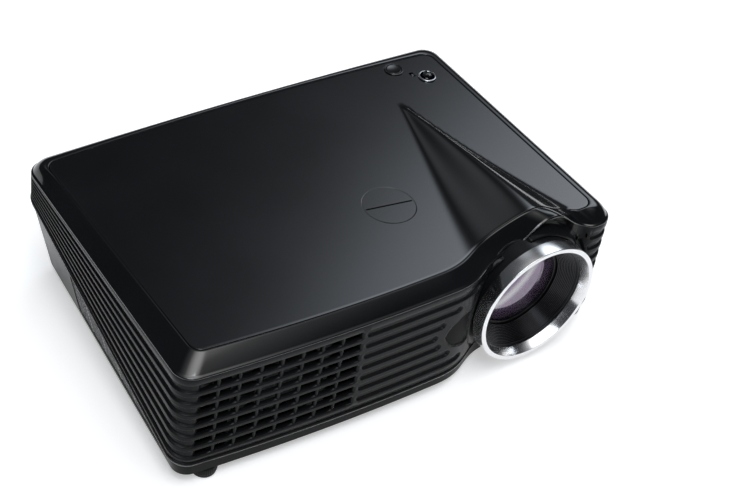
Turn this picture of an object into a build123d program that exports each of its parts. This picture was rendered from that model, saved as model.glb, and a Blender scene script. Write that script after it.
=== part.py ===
from build123d import *
import os
from math import atan, cos, sin, sqrt

os.makedirs("parts", exist_ok=True)

# A table-top video projector, in millimetres.
# X runs to the right seen from the front, the lens looks along -Y and Z is up.
# The origin is under the middle of the casing, on the table.

# Plan of the rim, the widest line of the casing
rim_side = 164.0
rim_left_closing = 7.0
rim_front = -99.0
rim_front_bow = 9.0
rim_back = 113.0
rim_corner = 13.0
base_corner = 11.0
bay_front = -93.5

# Place of the lens, and the bay of the front wall round it
lens_x = rim_side - 69.0
lens_z = 54.5
bay_start = lens_x - 70.0
bay_floor_start = lens_x - 15.0
bay_floor_end = lens_x + 39.0
bay_end = lens_x + 53.0

# Plan of the seam round the inlaid top panel
seam_left = -rim_side + 15.0
seam_right = rim_side - 12.6
seam_front = -87.2
seam_front_bow = 9.4
seam_back = rim_back - 13.0
seam_back_bow = 5.2
seam_corner = 8.0
seam_bay_front = -83.5
seam_bay_start = bay_start - 7.0
seam_bay_floor_start = bay_floor_start - 4.0
seam_bay_floor_end = bay_floor_end - 4.0
seam_bay_end = bay_end - 8.0
seam_gap = 0.35

# Heights
foot_height = 9.0
rim_z = 92.0
top_z = 100.0
parting_z = 17.0
parting_slope = 0.255

# Walls
shell_wall = 2.4
base_wall = 2.5
cover_wall = 2.5
panel_thickness = 2.0
ledge_thickness = 2.5
ledge_width = 6.0
ledge_root = 2.0
base_draft = 0.231
base_step = 0.8
lip_height = 2.0
floor_z = foot_height + base_wall
seat_gap = 0.2

# Bulge over the lens, an arch at the rim and at the seam that fades out at its tip
arch_left, arch_right, arch_top = lens_x - 24.0, lens_x + 46.0, rim_z + 16.6
arch_lead = 0.4
crest_left, crest_right, crest_top = lens_x - 31.0, lens_x + 45.0, top_z + 12.6
middle_left, middle_right, middle_top = lens_x - 26.0, lens_x + 31.0, top_z + 11.6
middle_y = -36.0
tip_x, tip_y = lens_x + 3.0, 59.0

# Grille and ribs
row_count = 7
row_pitch = 9.25
row_height = 6.2
row_top = rim_z - 5.8
column_pitch = 13.75
column_count = 8
column_bar = 2.0
grille_left = -rim_side + rim_corner
first_bar = grille_left + 11.6
groove_start = first_bar + (column_count - 1) * column_pitch + 2.65
groove_height = 3.2
groove_depth = 1.4
groove_fade_x = lens_x - 11.0
groove_fade_z = lens_z - 14.5
groove_fade_radius = 52.0
side_groove_front, side_groove_back = 5.0, 1.3
side_fan_start, side_fan_end = rim_front - 2.0, rim_back - 9.0
side_fan_top, side_fan_pitch = rim_z - 3.4, 2.6

# Mesh panel in the left lower wall
mesh_front, mesh_back = -83.0, 52.0
mesh_bottom = 13.4
mesh_below_lip = 3.6
mesh_recess = 0.4
mesh_bays = 6
mesh_bar = 1.6
mesh_slot = 1.6
mesh_pitch = 3.0
mesh_flange = 1.6
mesh_flange_thickness = 1.2
mesh_seat_gap = 0.2
filter_thickness = 4.0

# Lens
barrel_radius = 40.0
barrel_wall = 1.6
ring_front = -113.0
ring_radius = barrel_radius + 5.4
ring_mouth = barrel_radius + 1.1
ring_length = 10.2
ring_chamfer = 2.2
ring_edge = 0.6
collar_radius = barrel_radius + 3.3
collar_front = -102.4
collar_gap = 0.2
bead_radius = barrel_radius + 8.5
bead_height = 4.0
flange_radius = barrel_radius + 6.0
flange_thickness = 3.0
housing_radius = barrel_radius + 2.6
housing_back = -62.0
barrel_front = -105.5
barrel_back = -66.0
running_clearance = 0.08
baffle_front, baffle_back = -110.2, -93.6
baffle_mouth, baffle_throat = barrel_radius - 0.8, 31.0
baffle_wall = 1.3
baffle_gap = 0.1
glass_gap = 0.2
front_glass = (29.5, -91.5, -87.5, 6.5, 0.6)
middle_glass = (24.0, -82.0, -78.0, 1.5, 1.5)
rear_glass = (22.0, -74.0, -71.0, 1.0, 2.5)
cell_front, cell_back = -91.8, -68.0
cell_bore, cell_stop = 26.0, 21.5
retainer_inner, retainer_outer = 29.0, barrel_radius - 3.5
retainer_thickness = 1.0

# Light path, from the lamp on the left to the fold mirror behind the lens
path_y = -29.0
tunnel_half, tunnel_side = 34.5, 44.0
tunnel_left, tunnel_right = lens_x - 151.0, lens_x - 45.0
tunnel_wall = 2.0
tunnel_leg = 8.0
condenser = (24.0, tunnel_left - 12.0, tunnel_left - 7.0, 0.6, 6.0)
condenser_collar = 26.5
condenser_mouth = tunnel_left - 14.0
condenser_stop = 21.5
lcd_x = lens_x - 67.8
fresnel_spacing = 14.0
plate_thickness = 2.0
plate_bite = 0.8
groove_bite = 1.0
lcd_half_y, lcd_half_z = 36.0, 28.0
frame_half_y, frame_half_z = 39.0, 30.0
window_half_y, window_half_z = 33.0, 25.0
frame_thickness = 4.0
trunnion_radius, trunnion_reach = 2.0, 43.5
fork_gap, fork_plate, fork_half = 2.1, 2.0, 5.0
fork_base, fork_top = 1.2, top_z - 9.0
mirror_half, mirror_half_z = 42.4, 30.5
mirror_thickness = 3.0
bracket_margin = 2.0
bracket_thickness = 2.4
bracket_foot = 12.0

# Lamp and heat sink
sink_left, sink_right = -rim_side + 26.0, tunnel_left - 24.0
sink_front, sink_back = -76.0, -8.0
sink_base = 4.0
fin_thickness, fin_pitch, fin_count = 1.6, 6.0, 13
lamp_plate, lamp_chip, lamp_edge, lamp_dome = 34.0, 10.0, 0.5, 5.0

# Fans
exhaust_x, exhaust_front, exhaust_back = -rim_side + 69.0, -99.0, -79.0
exhaust_half = 35.0
intake_y, intake_left, intake_right = 27.0, -rim_side + 26.0, -rim_side + 41.0
intake_half = 30.0
fan_wall = 2.0
fan_hub_share = 0.5
blade_gap = 1.0
blade_thickness = 1.4
blade_count = 7
blade_turn = 38.0
strut_width = 3.0
pin_radius = 1.5
pin_clearance = 0.06

# Keystone dial, above the picture panel
dial_radius = 17.4
dial_gap = 0.3
dial_flange = 19.6
slot_length = 33.0
slot_width = 1.2
slot_depth = 1.0
slot_turn = -9.0
dial_flange_thickness = 1.6
dial_under_gap = 0.2
crank_offset = 8.0
crank_radius = 1.5
crank_arm = 2.0
crank_half = 4.0
crank_bottom = fork_top - 4.6

# Controls near the right back corner
button_x, button_y, button_radius = rim_side - 47.8, rim_back - 20.7, 5.4
lamp_x, lamp_y, lamp_radius, lamp_gap = rim_side - 38.8, rim_back - 31.3, 1.1, 0.15
stick_x, stick_y = rim_side - 30.5, rim_back - 37.5
stick_rim = 6.6
key_board_z = top_z - 12.0
button_gap = 0.3
button_rim = 1.4
button_rim_height = 0.8
button_travel = 0.8
button_dish = 0.5
button_flange = 6.6
button_bottom = top_z - 4.0
switch_size, switch_height = 6.0, 4.2
switch_plunger = 1.7
stick_hole = 5.7
stick_opening = 5.1
stick_rim_height = 1.2
stick_sleeve_bottom = top_z - 3.4
stick_top = top_z + 3.4
stick_arm, stick_arm_width, stick_cap = 3.2, 1.5, 3.7
pivot_z = top_z - 6.5
pivot_radius, pivot_clearance = 0.8, 0.06
cradle_outer, cradle_inner, cradle_half = 7.0, 4.8, 1.1
cradle_reach = 9.4
rocker_radius, rocker_half, rocker_reach = 4.0, 1.3, 6.4
stem_radius, stem_bottom = 1.24, pivot_z - 1.3
stick_push = 0.5
post_inner, post_outer, post_half = 7.8, 9.9, 2.0
key_board_left, key_board_step, key_board_right = rim_side - 60.0, rim_side - 36.0, rim_side - 19.0
key_board_front, key_board_middle, key_board_back = rim_back - 49.0, rim_back - 24.5, rim_back - 14.5
key_bosses = [
    (key_board_left + 3.5, key_board_front + 4.0),
    (key_board_right - 4.0, key_board_front + 3.5),
    (key_board_left + 3.5, key_board_middle - 4.5),
    (key_board_right - 4.0, key_board_middle - 4.0),
]
key_boss_radius = 2.4

# Posts of the lower case under the bosses of the top cover, one screw in each
posts = [
    (-rim_side + 18.5, rim_front + 20.0),
    (rim_side - 17.0, rim_front + 27.0),
    (-rim_side + 31.0, rim_back - 15.0),
    (rim_side - 26.0, rim_back - 15.0),
]
post_radius = 4.5
post_top = rim_z - 20.0
post_shoulder = post_top - 10.0
screw_radius, screw_clearance = 1.5, 0.15
screw_head, screw_head_height = 2.9, 2.4
screw_bite = 14.0

# Feet
foot_radius = 8.5
front_feet = [(-rim_side + 25.0, rim_front + 6.5), (rim_side - 23.0, rim_front + 16.0)]
rear_feet_at = [(-rim_side + 36.0, rim_back - 21.0), (rim_side - 36.0, rim_back - 21.0)]
foot_rounding = 1.6
knob_top = 8.7
pad_height = 3.0
pad_inset = 0.6
stud_radius, stud_clearance = 4.0, 0.08
stud_top = 24.0
stud_boss, stud_boss_top = 6.0, 26.0

# Ceiling mount: four threaded inserts in the floor
insert_half_x, insert_half_y = -sink_right - 20.0, 45.0
insert_bore, insert_radius, insert_boss = 2.0, 3.2, 5.0
insert_length = 7.0

# Boards
board_thickness = 1.6
power_board_z = 18.0
power_left, power_right = -rim_side + 46.0, -rim_side + 144.0
power_front, power_back = rim_back - 88.0, rim_back - 8.0
main_board_z = 22.0
main_left, main_right = rim_side - 174.0, rim_side - 34.0
main_front, main_back = rim_back - 83.0, rim_back - 7.0
board_post = 3.5
board_post_inset = 6.0
coil_width, coil_length, coil_height = 32.0, 28.0, 25.0
can_radius, can_height, can_pitch = 8.5, 30.0, 22.0
cooler_width, cooler_length, cooler_height = 4.0, 44.0, 28.0
chip_size, chip_thickness = 34.0, 3.0
chip_fin, chip_fin_pitch, chip_fin_height, chip_fin_count = 1.5, 5.5, 12.0, 6
memory_width, memory_length, memory_height, memory_pitch = 14.0, 10.0, 1.2, 16.0
tuner_size, tuner_height = 18.0, 1.6

# Rear connectors
plate_left, plate_right = main_left + 14.0, main_right - 8.0
plate_bottom, plate_top = 20.0, 52.0
plate_margin = 2.0
jack_gap = 0.3
jack_front = rim_back - 17.0
hdmi_x, hdmi_width, hdmi_height, hdmi_mouth = main_left + 29.5, 15.0, 6.2, rim_back - 2.8
vga_x, vga_width, vga_height, vga_mouth = main_left + 56.0, 31.0, 12.5, rim_back - 0.4
vga_shell_width, vga_shell_height = 17.5, 8.6
usb_x, usb_width, usb_height, usb_mouth = main_left + 86.0, 14.2, 7.2, rim_back - 2.4
jack_wall = 0.5
jack_depth = 9.0
tongue = 1.4
av_x, av_pitch, av_radius, av_bore, av_mouth = main_left + 113.0, 9.6, 4.15, 1.7, rim_back - 0.2
av_height = 12.0
inlet_x, inlet_z, inlet_width, inlet_height = -rim_side + 62.0, 33.0, 28.0, 20.4
inlet_mouth, inlet_body_front = rim_back - 0.2, rim_back - 17.0
inlet_wall, inlet_chamfer = 1.8, 4.0
inlet_depth = 14.0
inlet_pin_recess = 5.6
inlet_pin_width, inlet_pin_thickness, inlet_pin_pitch = 4.0, 2.0, 7.0
flange_margin, inlet_flange = 2.0, 1.5
rocker_x, rocker_width, rocker_height = inlet_x + 30.0, 13.0, 19.4
rocker_pivot_y, rocker_depth = rim_back - 2.6, 5.0
rocker_tilt = 10.0
rocker_half_width, rocker_half_height = 4.6, 7.4
rocker_pin, rocker_pin_reach = 1.0, 5.6
rocker_end, rocker_peak, rocker_under = 1.0, 2.0, 2.0

# Speaker behind the right wall
speaker_x, speaker_y = rim_side - 16.0, 5.0
speaker_half, speaker_radius = 20.0, 17.0
speaker_magnet, speaker_depth = 11.0, 16.0
speaker_slot, speaker_slot_pitch, speaker_slots = 1.8, 4.5, 5


def parting_at(y):
    """Height of the inclined parting line at a place along the side."""
    return parting_z + parting_slope * (y - (rim_front - rim_front_bow))


def s_curve(start, end):
    """Bend that leaves and arrives along X."""
    middle = (start[0] + end[0]) / 2
    Bezier(start, (middle, start[1]), (middle, end[1]), end)


def plan(height, left_front, left_back, right_front, right_back, front, bow, back, back_bow, bay, corner):
    """Closed plan of the casing: bowed front, bay round the lens and four rounded corners."""
    start, floor_start, floor_end, end, bay_y = bay
    middle = (left_front[0] + start) / 2
    with BuildSketch(Plane.XY.offset(height)) as shape:
        with BuildLine():
            Line((left_back, back), left_front)
            ThreePointArc(left_front, (middle, front - 0.8 * bow), (start, front - bow))
            s_curve((start, front - bow), (floor_start, bay_y))
            Line((floor_start, bay_y), (floor_end, bay_y))
            s_curve((floor_end, bay_y), (end, front))
            Line((end, front), (right_front, front))
            Line((right_front, front), (right_back, back))
            half_way = (left_back + right_back) / 2
            ThreePointArc((right_back, back), (half_way, back + back_bow), (left_back, back))
        make_face()
        ends = (left_front[0], left_back, right_front, right_back)
        fillet([v for v in shape.vertices() if min(abs(v.X - x) for x in ends) < 0.01], corner)
    return shape.sketch


def rim_plan(height, inset=0.0):
    """Plan of the rim, or of a wall set in from it."""
    return plan(
        height,
        (-rim_side + inset, rim_front + inset),
        -rim_side + rim_left_closing + inset,
        rim_side - inset,
        rim_side - inset,
        rim_front + inset,
        rim_front_bow,
        rim_back - inset,
        0.3,
        (bay_start, bay_floor_start, bay_floor_end, bay_end, bay_front + inset),
        rim_corner - inset,
    )


def seam_plan(height, inset=0.0):
    """Plan of the seam round the inlaid panel."""
    return plan(
        height,
        (seam_left + inset, seam_front + inset),
        seam_left + inset,
        seam_right - inset,
        seam_right - inset,
        seam_front + inset,
        seam_front_bow,
        seam_back - inset,
        seam_back_bow,
        (seam_bay_start, seam_bay_floor_start, seam_bay_floor_end, seam_bay_end, seam_bay_front + inset),
        max(seam_corner - inset, 1.0),
    )


def base_plan(height, inset=0.0):
    """Plan of the lower case, whose sides close in below the parting line."""
    front_drop = base_draft * (parting_at(rim_front) - height) + inset
    back_drop = base_draft * (parting_at(rim_back) - height) + inset
    return plan(
        height,
        (-rim_side + front_drop, rim_front + inset),
        -rim_side + rim_left_closing + back_drop,
        rim_side - front_drop,
        rim_side - back_drop,
        rim_front + inset,
        rim_front_bow,
        rim_back - inset,
        0.3,
        (bay_start, bay_floor_start, bay_floor_end, bay_end, bay_front + inset),
        base_corner - inset,
    )


def front_at(x, y, z):
    """Plane at a point, turned to the front: X runs right and Y up."""
    return Plane(origin=(x, y, z), x_dir=(1, 0, 0), z_dir=(0, -1, 0))


def back_at(x, y, z):
    """Plane at a point, turned to the back: X runs left and Y up."""
    return Plane(origin=(x, y, z), x_dir=(-1, 0, 0), z_dir=(0, 1, 0))


def left_at(x, y, z):
    """Plane at a point, turned to the left: X runs forward and Y up."""
    return Plane(origin=(x, y, z), x_dir=(0, -1, 0), z_dir=(-1, 0, 0))


def right_at(x, y, z):
    """Plane at a point, turned to the right: X runs back and Y up."""
    return Plane(origin=(x, y, z), x_dir=(0, 1, 0), z_dir=(1, 0, 0))


def arch(y, left, right, top, foot):
    """Section of the bulge: an arc that stands on a straight foot."""
    with BuildSketch(front_at(0, y, 0)) as shape:
        with BuildLine():
            ThreePointArc((left, foot), ((left + right) / 2, top), (right, foot))
            Line((right, foot), (left, foot))
        make_face()
    return shape.sketch


on_floor = (Align.CENTER, Align.CENTER, Align.MIN)
at_corner = (Align.MIN, Align.MIN, Align.MIN)
to_back = (Align.CENTER, Align.MIN, Align.CENTER)
to_front = (Align.CENTER, Align.MAX, Align.CENTER)
parting = Plane(
    origin=(0, 0, parting_at(0)),
    x_dir=(1, 0, 0),
    z_dir=(0, -sin(atan(parting_slope)), cos(atan(parting_slope))),
)

# Crown: the solid under the whole top surface, from which cover and panel are cut
with BuildPart() as crown:
    loft(sections=[rim_plan(rim_z), seam_plan(top_z)], ruled=True)
    loft(
        sections=[
            arch(bay_front - arch_lead, arch_left, arch_right, arch_top, rim_z),
            arch(seam_bay_front, crest_left, crest_right, crest_top, rim_z),
            arch(middle_y, middle_left, middle_right, middle_top, rim_z),
            Vertex(tip_x, tip_y, top_z),
        ],
        ruled=True,
    )


def below(depth):
    """The crown, lowered by a wall."""
    return crown.part.moved(Location((0, 0, -depth)))


# Inlaid top panel, with the holes for the dial and the controls
with BuildPart() as top_panel:
    add(crown.part)
    add(below(panel_thickness), mode=Mode.SUBTRACT)
    extrude(seam_plan(rim_z, seam_gap), amount=crest_top - rim_z, mode=Mode.INTERSECT)
    with BuildSketch(Plane.XY.offset(top_z)):
        with Locations((button_x, button_y)):
            Circle(button_radius + button_gap + button_rim)
    extrude(amount=button_rim_height)
    with BuildSketch(Plane.XY.offset(top_z - panel_thickness)):
        with Locations(*key_bosses):
            Circle(key_boss_radius)
    extrude(amount=key_board_z + board_thickness - top_z + panel_thickness)
    with BuildSketch(Plane.XY.offset(top_z + button_rim_height)):
        with Locations((lcd_x, path_y)):
            Circle(dial_radius + dial_gap)
        with Locations((button_x, button_y)):
            Circle(button_radius + button_gap)
        with Locations((stick_x, stick_y)):
            Circle(stick_hole)
        with Locations((lamp_x, lamp_y)):
            Circle(lamp_radius + lamp_gap)
    extrude(amount=-button_rim_height - panel_thickness, mode=Mode.SUBTRACT)

# Top cover: the bevelled frame round the panel, and the ledge that carries the panel
with BuildPart() as ledge:
    add(below(panel_thickness))
    add(below(panel_thickness + ledge_thickness), mode=Mode.SUBTRACT)
    extrude(seam_plan(rim_z - cover_wall, -ledge_root), amount=crest_top - rim_z, mode=Mode.INTERSECT)
    extrude(seam_plan(rim_z - cover_wall, ledge_width), amount=crest_top - rim_z, mode=Mode.SUBTRACT)

with BuildPart() as top_cover:
    add(crown.part)
    add(below(cover_wall), mode=Mode.SUBTRACT)
    extrude(seam_plan(rim_z), amount=crest_top, mode=Mode.SUBTRACT)
    add(ledge.part)
    with BuildSketch(Plane.XY.offset(rim_z)):
        with Locations((button_x, button_y)):
            Circle(button_flange + ledge_thickness)
    extrude(amount=top_z - rim_z, mode=Mode.SUBTRACT)
    with BuildSketch(Plane.XY.offset(post_top)):
        with Locations(*posts):
            Circle(post_radius)
    extrude(amount=top_z - panel_thickness - ledge_thickness / 2 - post_top)
    with BuildSketch(Plane.XY.offset(post_top)):
        with Locations(*posts):
            Circle(screw_radius + screw_clearance)
    extrude(amount=screw_bite, mode=Mode.SUBTRACT)


def row_centre(row):
    """Height of the middle of a row of the grille."""
    return row_top - row_height / 2 - row * row_pitch


def side_grooves(plane, turn):
    """Grooves that fan out along a side wall; turn is +1 where the plane's X runs back, else -1."""
    with BuildSketch(plane) as shape:
        for row in range(row_count):
            front_z = row_centre(row)
            back_z = side_fan_top - row * side_fan_pitch
            corners = [
                (side_fan_start, front_z - side_groove_front / 2),
                (side_fan_end, back_z - side_groove_back / 2),
                (side_fan_end, back_z + side_groove_back / 2),
                (side_fan_start, front_z + side_groove_front / 2),
            ]
            with BuildLine():
                Polyline([(turn * y, z) for y, z in corners], close=True)
            make_face()
    return shape.sketch


def flat_disc(y, radius, top=crest_top):
    """Disc round the lens axis, cut off flat on the floor of the casing and at the top."""
    with BuildSketch(front_at(lens_x, y, lens_z)) as shape:
        Circle(radius)
        with Locations((0, floor_z - lens_z)):
            Rectangle(2 * radius, top - floor_z, align=(Align.CENTER, Align.MIN), mode=Mode.INTERSECT)
    return shape.sketch


def bulge_at(radius, bulge, place):
    """Height of a bulged face of a round lens at a distance from its axis."""
    sphere = (radius**2 + bulge**2) / (2 * bulge)
    return bulge - sphere + sqrt(sphere**2 - place**2)


# Ribs: the slots and wedges cut into the outside of the upper shell
with BuildPart() as grooves:
    with BuildSketch(front_at(0, rim_front - 2 * rim_front_bow, 0)):
        for row in range(row_count):
            height = row_centre(row)
            end = groove_fade_x - sqrt(groove_fade_radius**2 - (height - groove_fade_z) ** 2)
            with Locations(((groove_start + end) / 2, height)):
                SlotOverall(end - groove_start, groove_height)
    extrude(amount=-4 * rim_front_bow)
    extrude(side_grooves(left_at(-rim_side - shell_wall, 0, 0), -1), amount=-2 * rim_corner)
    extrude(side_grooves(right_at(rim_side + shell_wall, 0, 0), 1), amount=-2 * rim_corner)
    extrude(rim_plan(0, groove_depth), amount=rim_z, mode=Mode.SUBTRACT)

# Bead round the lens opening, kept under the arch of the cover
bay_back = bay_front + base_step + base_wall
under_arch = arch(
    bay_front,
    arch_left + seat_gap,
    arch_right - 4 * seat_gap,
    arch_top - cover_wall - seat_gap,
    rim_z - cover_wall,
)
with BuildPart() as bead:
    extrude(under_arch, amount=bead_height)
    with BuildSketch(front_at(lens_x, bay_front, 0)):
        Rectangle(2 * bead_radius, rim_z - cover_wall, align=(Align.CENTER, Align.MIN))
    extrude(amount=bead_height)
    with BuildSketch(front_at(lens_x, bay_front, lens_z)):
        Circle(bead_radius)
    extrude(amount=bead_height, taper=12, mode=Mode.INTERSECT)
    split(bisect_by=parting, keep=Keep.TOP)

# Upper shell: the ribbed walls with the front grille, closed off below at the inclined parting line
with BuildPart() as upper_shell:
    extrude(rim_plan(0), amount=rim_z)
    split(bisect_by=parting, keep=Keep.TOP)
    extrude(rim_plan(0, shell_wall), amount=rim_z, mode=Mode.SUBTRACT)
    extrude(under_arch, amount=bay_front - bay_back)
    add(bead.part)
    add(grooves.part, mode=Mode.SUBTRACT)
    extrude(
        flat_disc(ring_front, collar_radius + collar_gap),
        amount=ring_front - bay_back,
        mode=Mode.SUBTRACT,
    )
    with BuildSketch(front_at(0, rim_front - 2 * rim_front_bow, 0)):
        for row in range(row_count):
            left = grille_left
            for column in range(column_count):
                bar = first_bar + column * column_pitch
                right = bar - column_bar / 2
                with Locations(((left + right) / 2, row_centre(row))):
                    Rectangle(right - left, row_height)
                left = bar + column_bar / 2
    extrude(amount=-3 * rim_front_bow, mode=Mode.SUBTRACT)

# Left lower wall, a leaning plane; the mesh panel and its filter are placed in it
wall_run = rim_left_closing / (rim_back - rim_front) + base_draft * parting_slope


def wall_x(y, z):
    """Outside of the left lower wall at a place along it and a height."""
    side = -rim_side + base_step + rim_left_closing * (y - rim_front) / (rim_back - rim_front)
    return side + base_draft * (parting_at(y) - z)


mesh_wall = Plane(
    origin=(wall_x(0, floor_z), 0, floor_z), x_dir=(-wall_run, -1, 0), z_dir=(-1, wall_run, -base_draft)
)
flange_depth = base_wall / sqrt(1 + wall_run**2 + base_draft**2) + mesh_seat_gap


def on_wall(y, z):
    """A place on the left lower wall, in the coordinates of its plane."""
    point = mesh_wall.to_local_coords(Vector(wall_x(y, z), y, z))
    return (point.X, point.Y)


def mesh_outline(depth, margin):
    """Outline of the mesh panel at a depth below the outside of the wall, grown by a margin."""
    with BuildSketch(mesh_wall.offset(-depth)) as shape:
        with BuildLine():
            Polyline(
                [
                    on_wall(mesh_front - margin, mesh_bottom - margin),
                    on_wall(mesh_back + margin, mesh_bottom - margin),
                    on_wall(mesh_back + margin, parting_at(mesh_back) - mesh_below_lip + margin),
                    on_wall(mesh_front - margin, parting_at(mesh_front) - mesh_below_lip + margin),
                ],
                close=True,
            )
        make_face()
    return shape.sketch


# Side mesh panel: six bays of fine slots in front of the air filter
with BuildPart() as side_mesh_panel:
    extrude(mesh_outline(mesh_recess, 0), amount=mesh_recess - flange_depth)
    extrude(mesh_outline(flange_depth, mesh_flange), amount=-mesh_flange_thickness)
    bay = (mesh_back - mesh_front) / mesh_bays
    with BuildSketch(mesh_wall):
        for number in range(mesh_bays):
            front = mesh_front + number * bay
            top = parting_at(front) - mesh_below_lip - mesh_bar
            rows = int((top - mesh_bottom - mesh_bar + mesh_pitch - mesh_slot) / mesh_pitch)
            for row in range(rows):
                height = mesh_bottom + mesh_bar + mesh_slot / 2 + row * mesh_pitch
                with Locations(on_wall(front + bay / 2, height)):
                    Rectangle(bay - mesh_bar, mesh_slot)
    extrude(amount=-flange_depth - 2 * mesh_flange_thickness, mode=Mode.SUBTRACT)

with BuildPart() as air_filter:
    extrude(mesh_outline(flange_depth + mesh_flange_thickness, 0), amount=-filter_thickness)

# Lower case: the floor and the leaning walls up to the parting line, with a thin lip at the top
with BuildPart() as lip:
    extrude(rim_plan(0), amount=rim_z)
    extrude(rim_plan(0, shell_wall), amount=rim_z, mode=Mode.SUBTRACT)
    split(bisect_by=parting, keep=Keep.BOTTOM)
    split(bisect_by=parting.offset(-lip_height), keep=Keep.TOP)

with BuildPart() as lower_case:
    loft(sections=[base_plan(foot_height, base_step), base_plan(rim_z, base_step)], ruled=True)
    loft(
        sections=[base_plan(floor_z, base_step + base_wall), base_plan(rim_z, base_step + base_wall)],
        ruled=True,
        mode=Mode.SUBTRACT,
    )
    split(bisect_by=parting, keep=Keep.BOTTOM)
    add(lip.part)
    # Lens opening
    extrude(
        flat_disc(ring_front, collar_radius + collar_gap),
        amount=ring_front - bay_back,
        mode=Mode.SUBTRACT,
    )
    # Mesh panel
    extrude(mesh_outline(-base_wall, seat_gap), amount=-3 * base_wall, mode=Mode.SUBTRACT)
    # Shelf under the exhaust fan
    for y in (exhaust_front + plate_thickness, exhaust_back - plate_thickness):
        with Locations((exhaust_x, y, floor_z)):
            Box(2 * exhaust_half, plate_thickness, lens_z - exhaust_half - floor_z, align=on_floor)
    # Screw posts, foot bosses, insert bosses and board posts
    with BuildSketch(Plane.XY.offset(foot_height)):
        with Locations(*posts):
            Circle(post_radius)
    extrude(amount=post_top - foot_height)
    with BuildSketch(Plane.XY.offset(foot_height)):
        with Locations(*front_feet):
            Circle(stud_boss)
    extrude(amount=stud_boss_top - foot_height)
    with BuildSketch(Plane.XY.offset(foot_height)):
        with GridLocations(2 * insert_half_x, 2 * insert_half_y, 2, 2):
            Circle(insert_boss)
    extrude(amount=insert_length + plate_thickness / 2)
    with BuildSketch(Plane.XY.offset(floor_z)):
        with Locations(((power_left + power_right) / 2, (power_front + power_back) / 2)):
            with GridLocations(power_right - power_left - 2 * board_post_inset,
                               power_back - power_front - 2 * board_post_inset, 2, 2):
                Circle(board_post)
    extrude(amount=power_board_z - floor_z)
    with BuildSketch(Plane.XY.offset(floor_z)):
        with Locations(((main_left + main_right) / 2, (main_front + main_back) / 2)):
            with GridLocations(main_right - main_left - 2 * board_post_inset,
                               main_back - main_front - 2 * board_post_inset, 2, 2):
                Circle(board_post)
    extrude(amount=main_board_z - floor_z)
    # Bores of the posts, the feet and the inserts
    with BuildSketch(Plane.XY.offset(foot_height)):
        with Locations(*posts):
            Circle(screw_head + screw_clearance)
    extrude(amount=post_shoulder - foot_height, mode=Mode.SUBTRACT)
    with BuildSketch(Plane.XY.offset(foot_height)):
        with Locations(*posts):
            Circle(screw_radius + screw_clearance)
    extrude(amount=post_top - foot_height, mode=Mode.SUBTRACT)
    with BuildSketch(Plane.XY.offset(foot_height)):
        with Locations(*front_feet):
            Circle(stud_radius + stud_clearance)
    extrude(amount=stud_boss_top - foot_height, mode=Mode.SUBTRACT)
    with BuildSketch(Plane.XY.offset(foot_height)):
        with GridLocations(2 * insert_half_x, 2 * insert_half_y, 2, 2):
            Circle(insert_radius)
    extrude(amount=insert_length, mode=Mode.SUBTRACT)
    # Openings of the rear wall and the slots before the speaker
    with BuildSketch(back_at(0, rim_back - 2 * base_wall, 0)):
        with Locations((-(plate_left + plate_right) / 2, (plate_bottom + plate_top) / 2)):
            window = plate_right - plate_left - 2 * plate_margin
            Rectangle(window, plate_top - plate_bottom - 2 * plate_margin)
        with Locations((-inlet_x, inlet_z)):
            Rectangle(inlet_width + 2 * seat_gap, inlet_height + 2 * seat_gap)
        with Locations((-rocker_x, inlet_z)):
            Rectangle(rocker_width + 2 * seat_gap, rocker_height + 2 * seat_gap)
    extrude(amount=4 * base_wall, mode=Mode.SUBTRACT)
    with BuildSketch(right_at(speaker_x + 2 * base_wall, speaker_y, floor_z + speaker_half)):
        with GridLocations(0, speaker_slot_pitch, 1, speaker_slots):
            Rectangle(1.5 * speaker_radius, speaker_slot)
    extrude(amount=4 * base_wall, mode=Mode.SUBTRACT)

with BuildPart() as rear_plate:
    with BuildSketch(back_at(0, rim_back - base_step - base_wall - plate_thickness, 0)):
        with Locations((-(plate_left + plate_right) / 2, (plate_bottom + plate_top) / 2)):
            Rectangle(plate_right - plate_left, plate_top - plate_bottom)
        shelf = main_board_z + board_thickness
        with Locations((-hdmi_x, shelf + hdmi_height / 2)):
            Rectangle(hdmi_width + 2 * jack_gap, hdmi_height + 2 * jack_gap, mode=Mode.SUBTRACT)
        with Locations((-vga_x, shelf + vga_height / 2)):
            Rectangle(vga_shell_width + 2 * jack_gap, vga_shell_height + 2 * jack_gap, mode=Mode.SUBTRACT)
        with Locations((-usb_x, shelf + usb_height / 2)):
            Rectangle(usb_width + 2 * jack_gap, usb_height + 2 * jack_gap, mode=Mode.SUBTRACT)
        with Locations((-av_x, shelf + av_height / 2)):
            with GridLocations(av_pitch, 0, 3, 1):
                Circle(av_radius + jack_gap, mode=Mode.SUBTRACT)
    extrude(amount=plate_thickness)

# Four screws from below, deep in the posts, hold the cover on the case
with BuildPart() as case_screws:
    with BuildSketch(Plane.XY.offset(post_shoulder - screw_head_height)):
        with Locations(*posts):
            Circle(screw_head)
    extrude(amount=screw_head_height)
    with BuildSketch(Plane.XY.offset(post_shoulder)):
        with Locations(*posts):
            Circle(screw_radius)
    extrude(amount=post_top - post_shoulder + screw_bite - screw_head_height)

with BuildPart() as rear_feet:
    with BuildSketch():
        with Locations(*rear_feet_at):
            Circle(foot_radius)
    extrude(amount=foot_height)
    fillet(rear_feet.edges().group_by(Axis.Z)[0], foot_rounding)

with BuildPart() as ceiling_inserts:
    with BuildSketch(Plane.XY.offset(foot_height)):
        with GridLocations(2 * insert_half_x, 2 * insert_half_y, 2, 2):
            Circle(insert_radius)
            Circle(insert_bore, mode=Mode.SUBTRACT)
    extrude(amount=insert_length)

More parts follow.
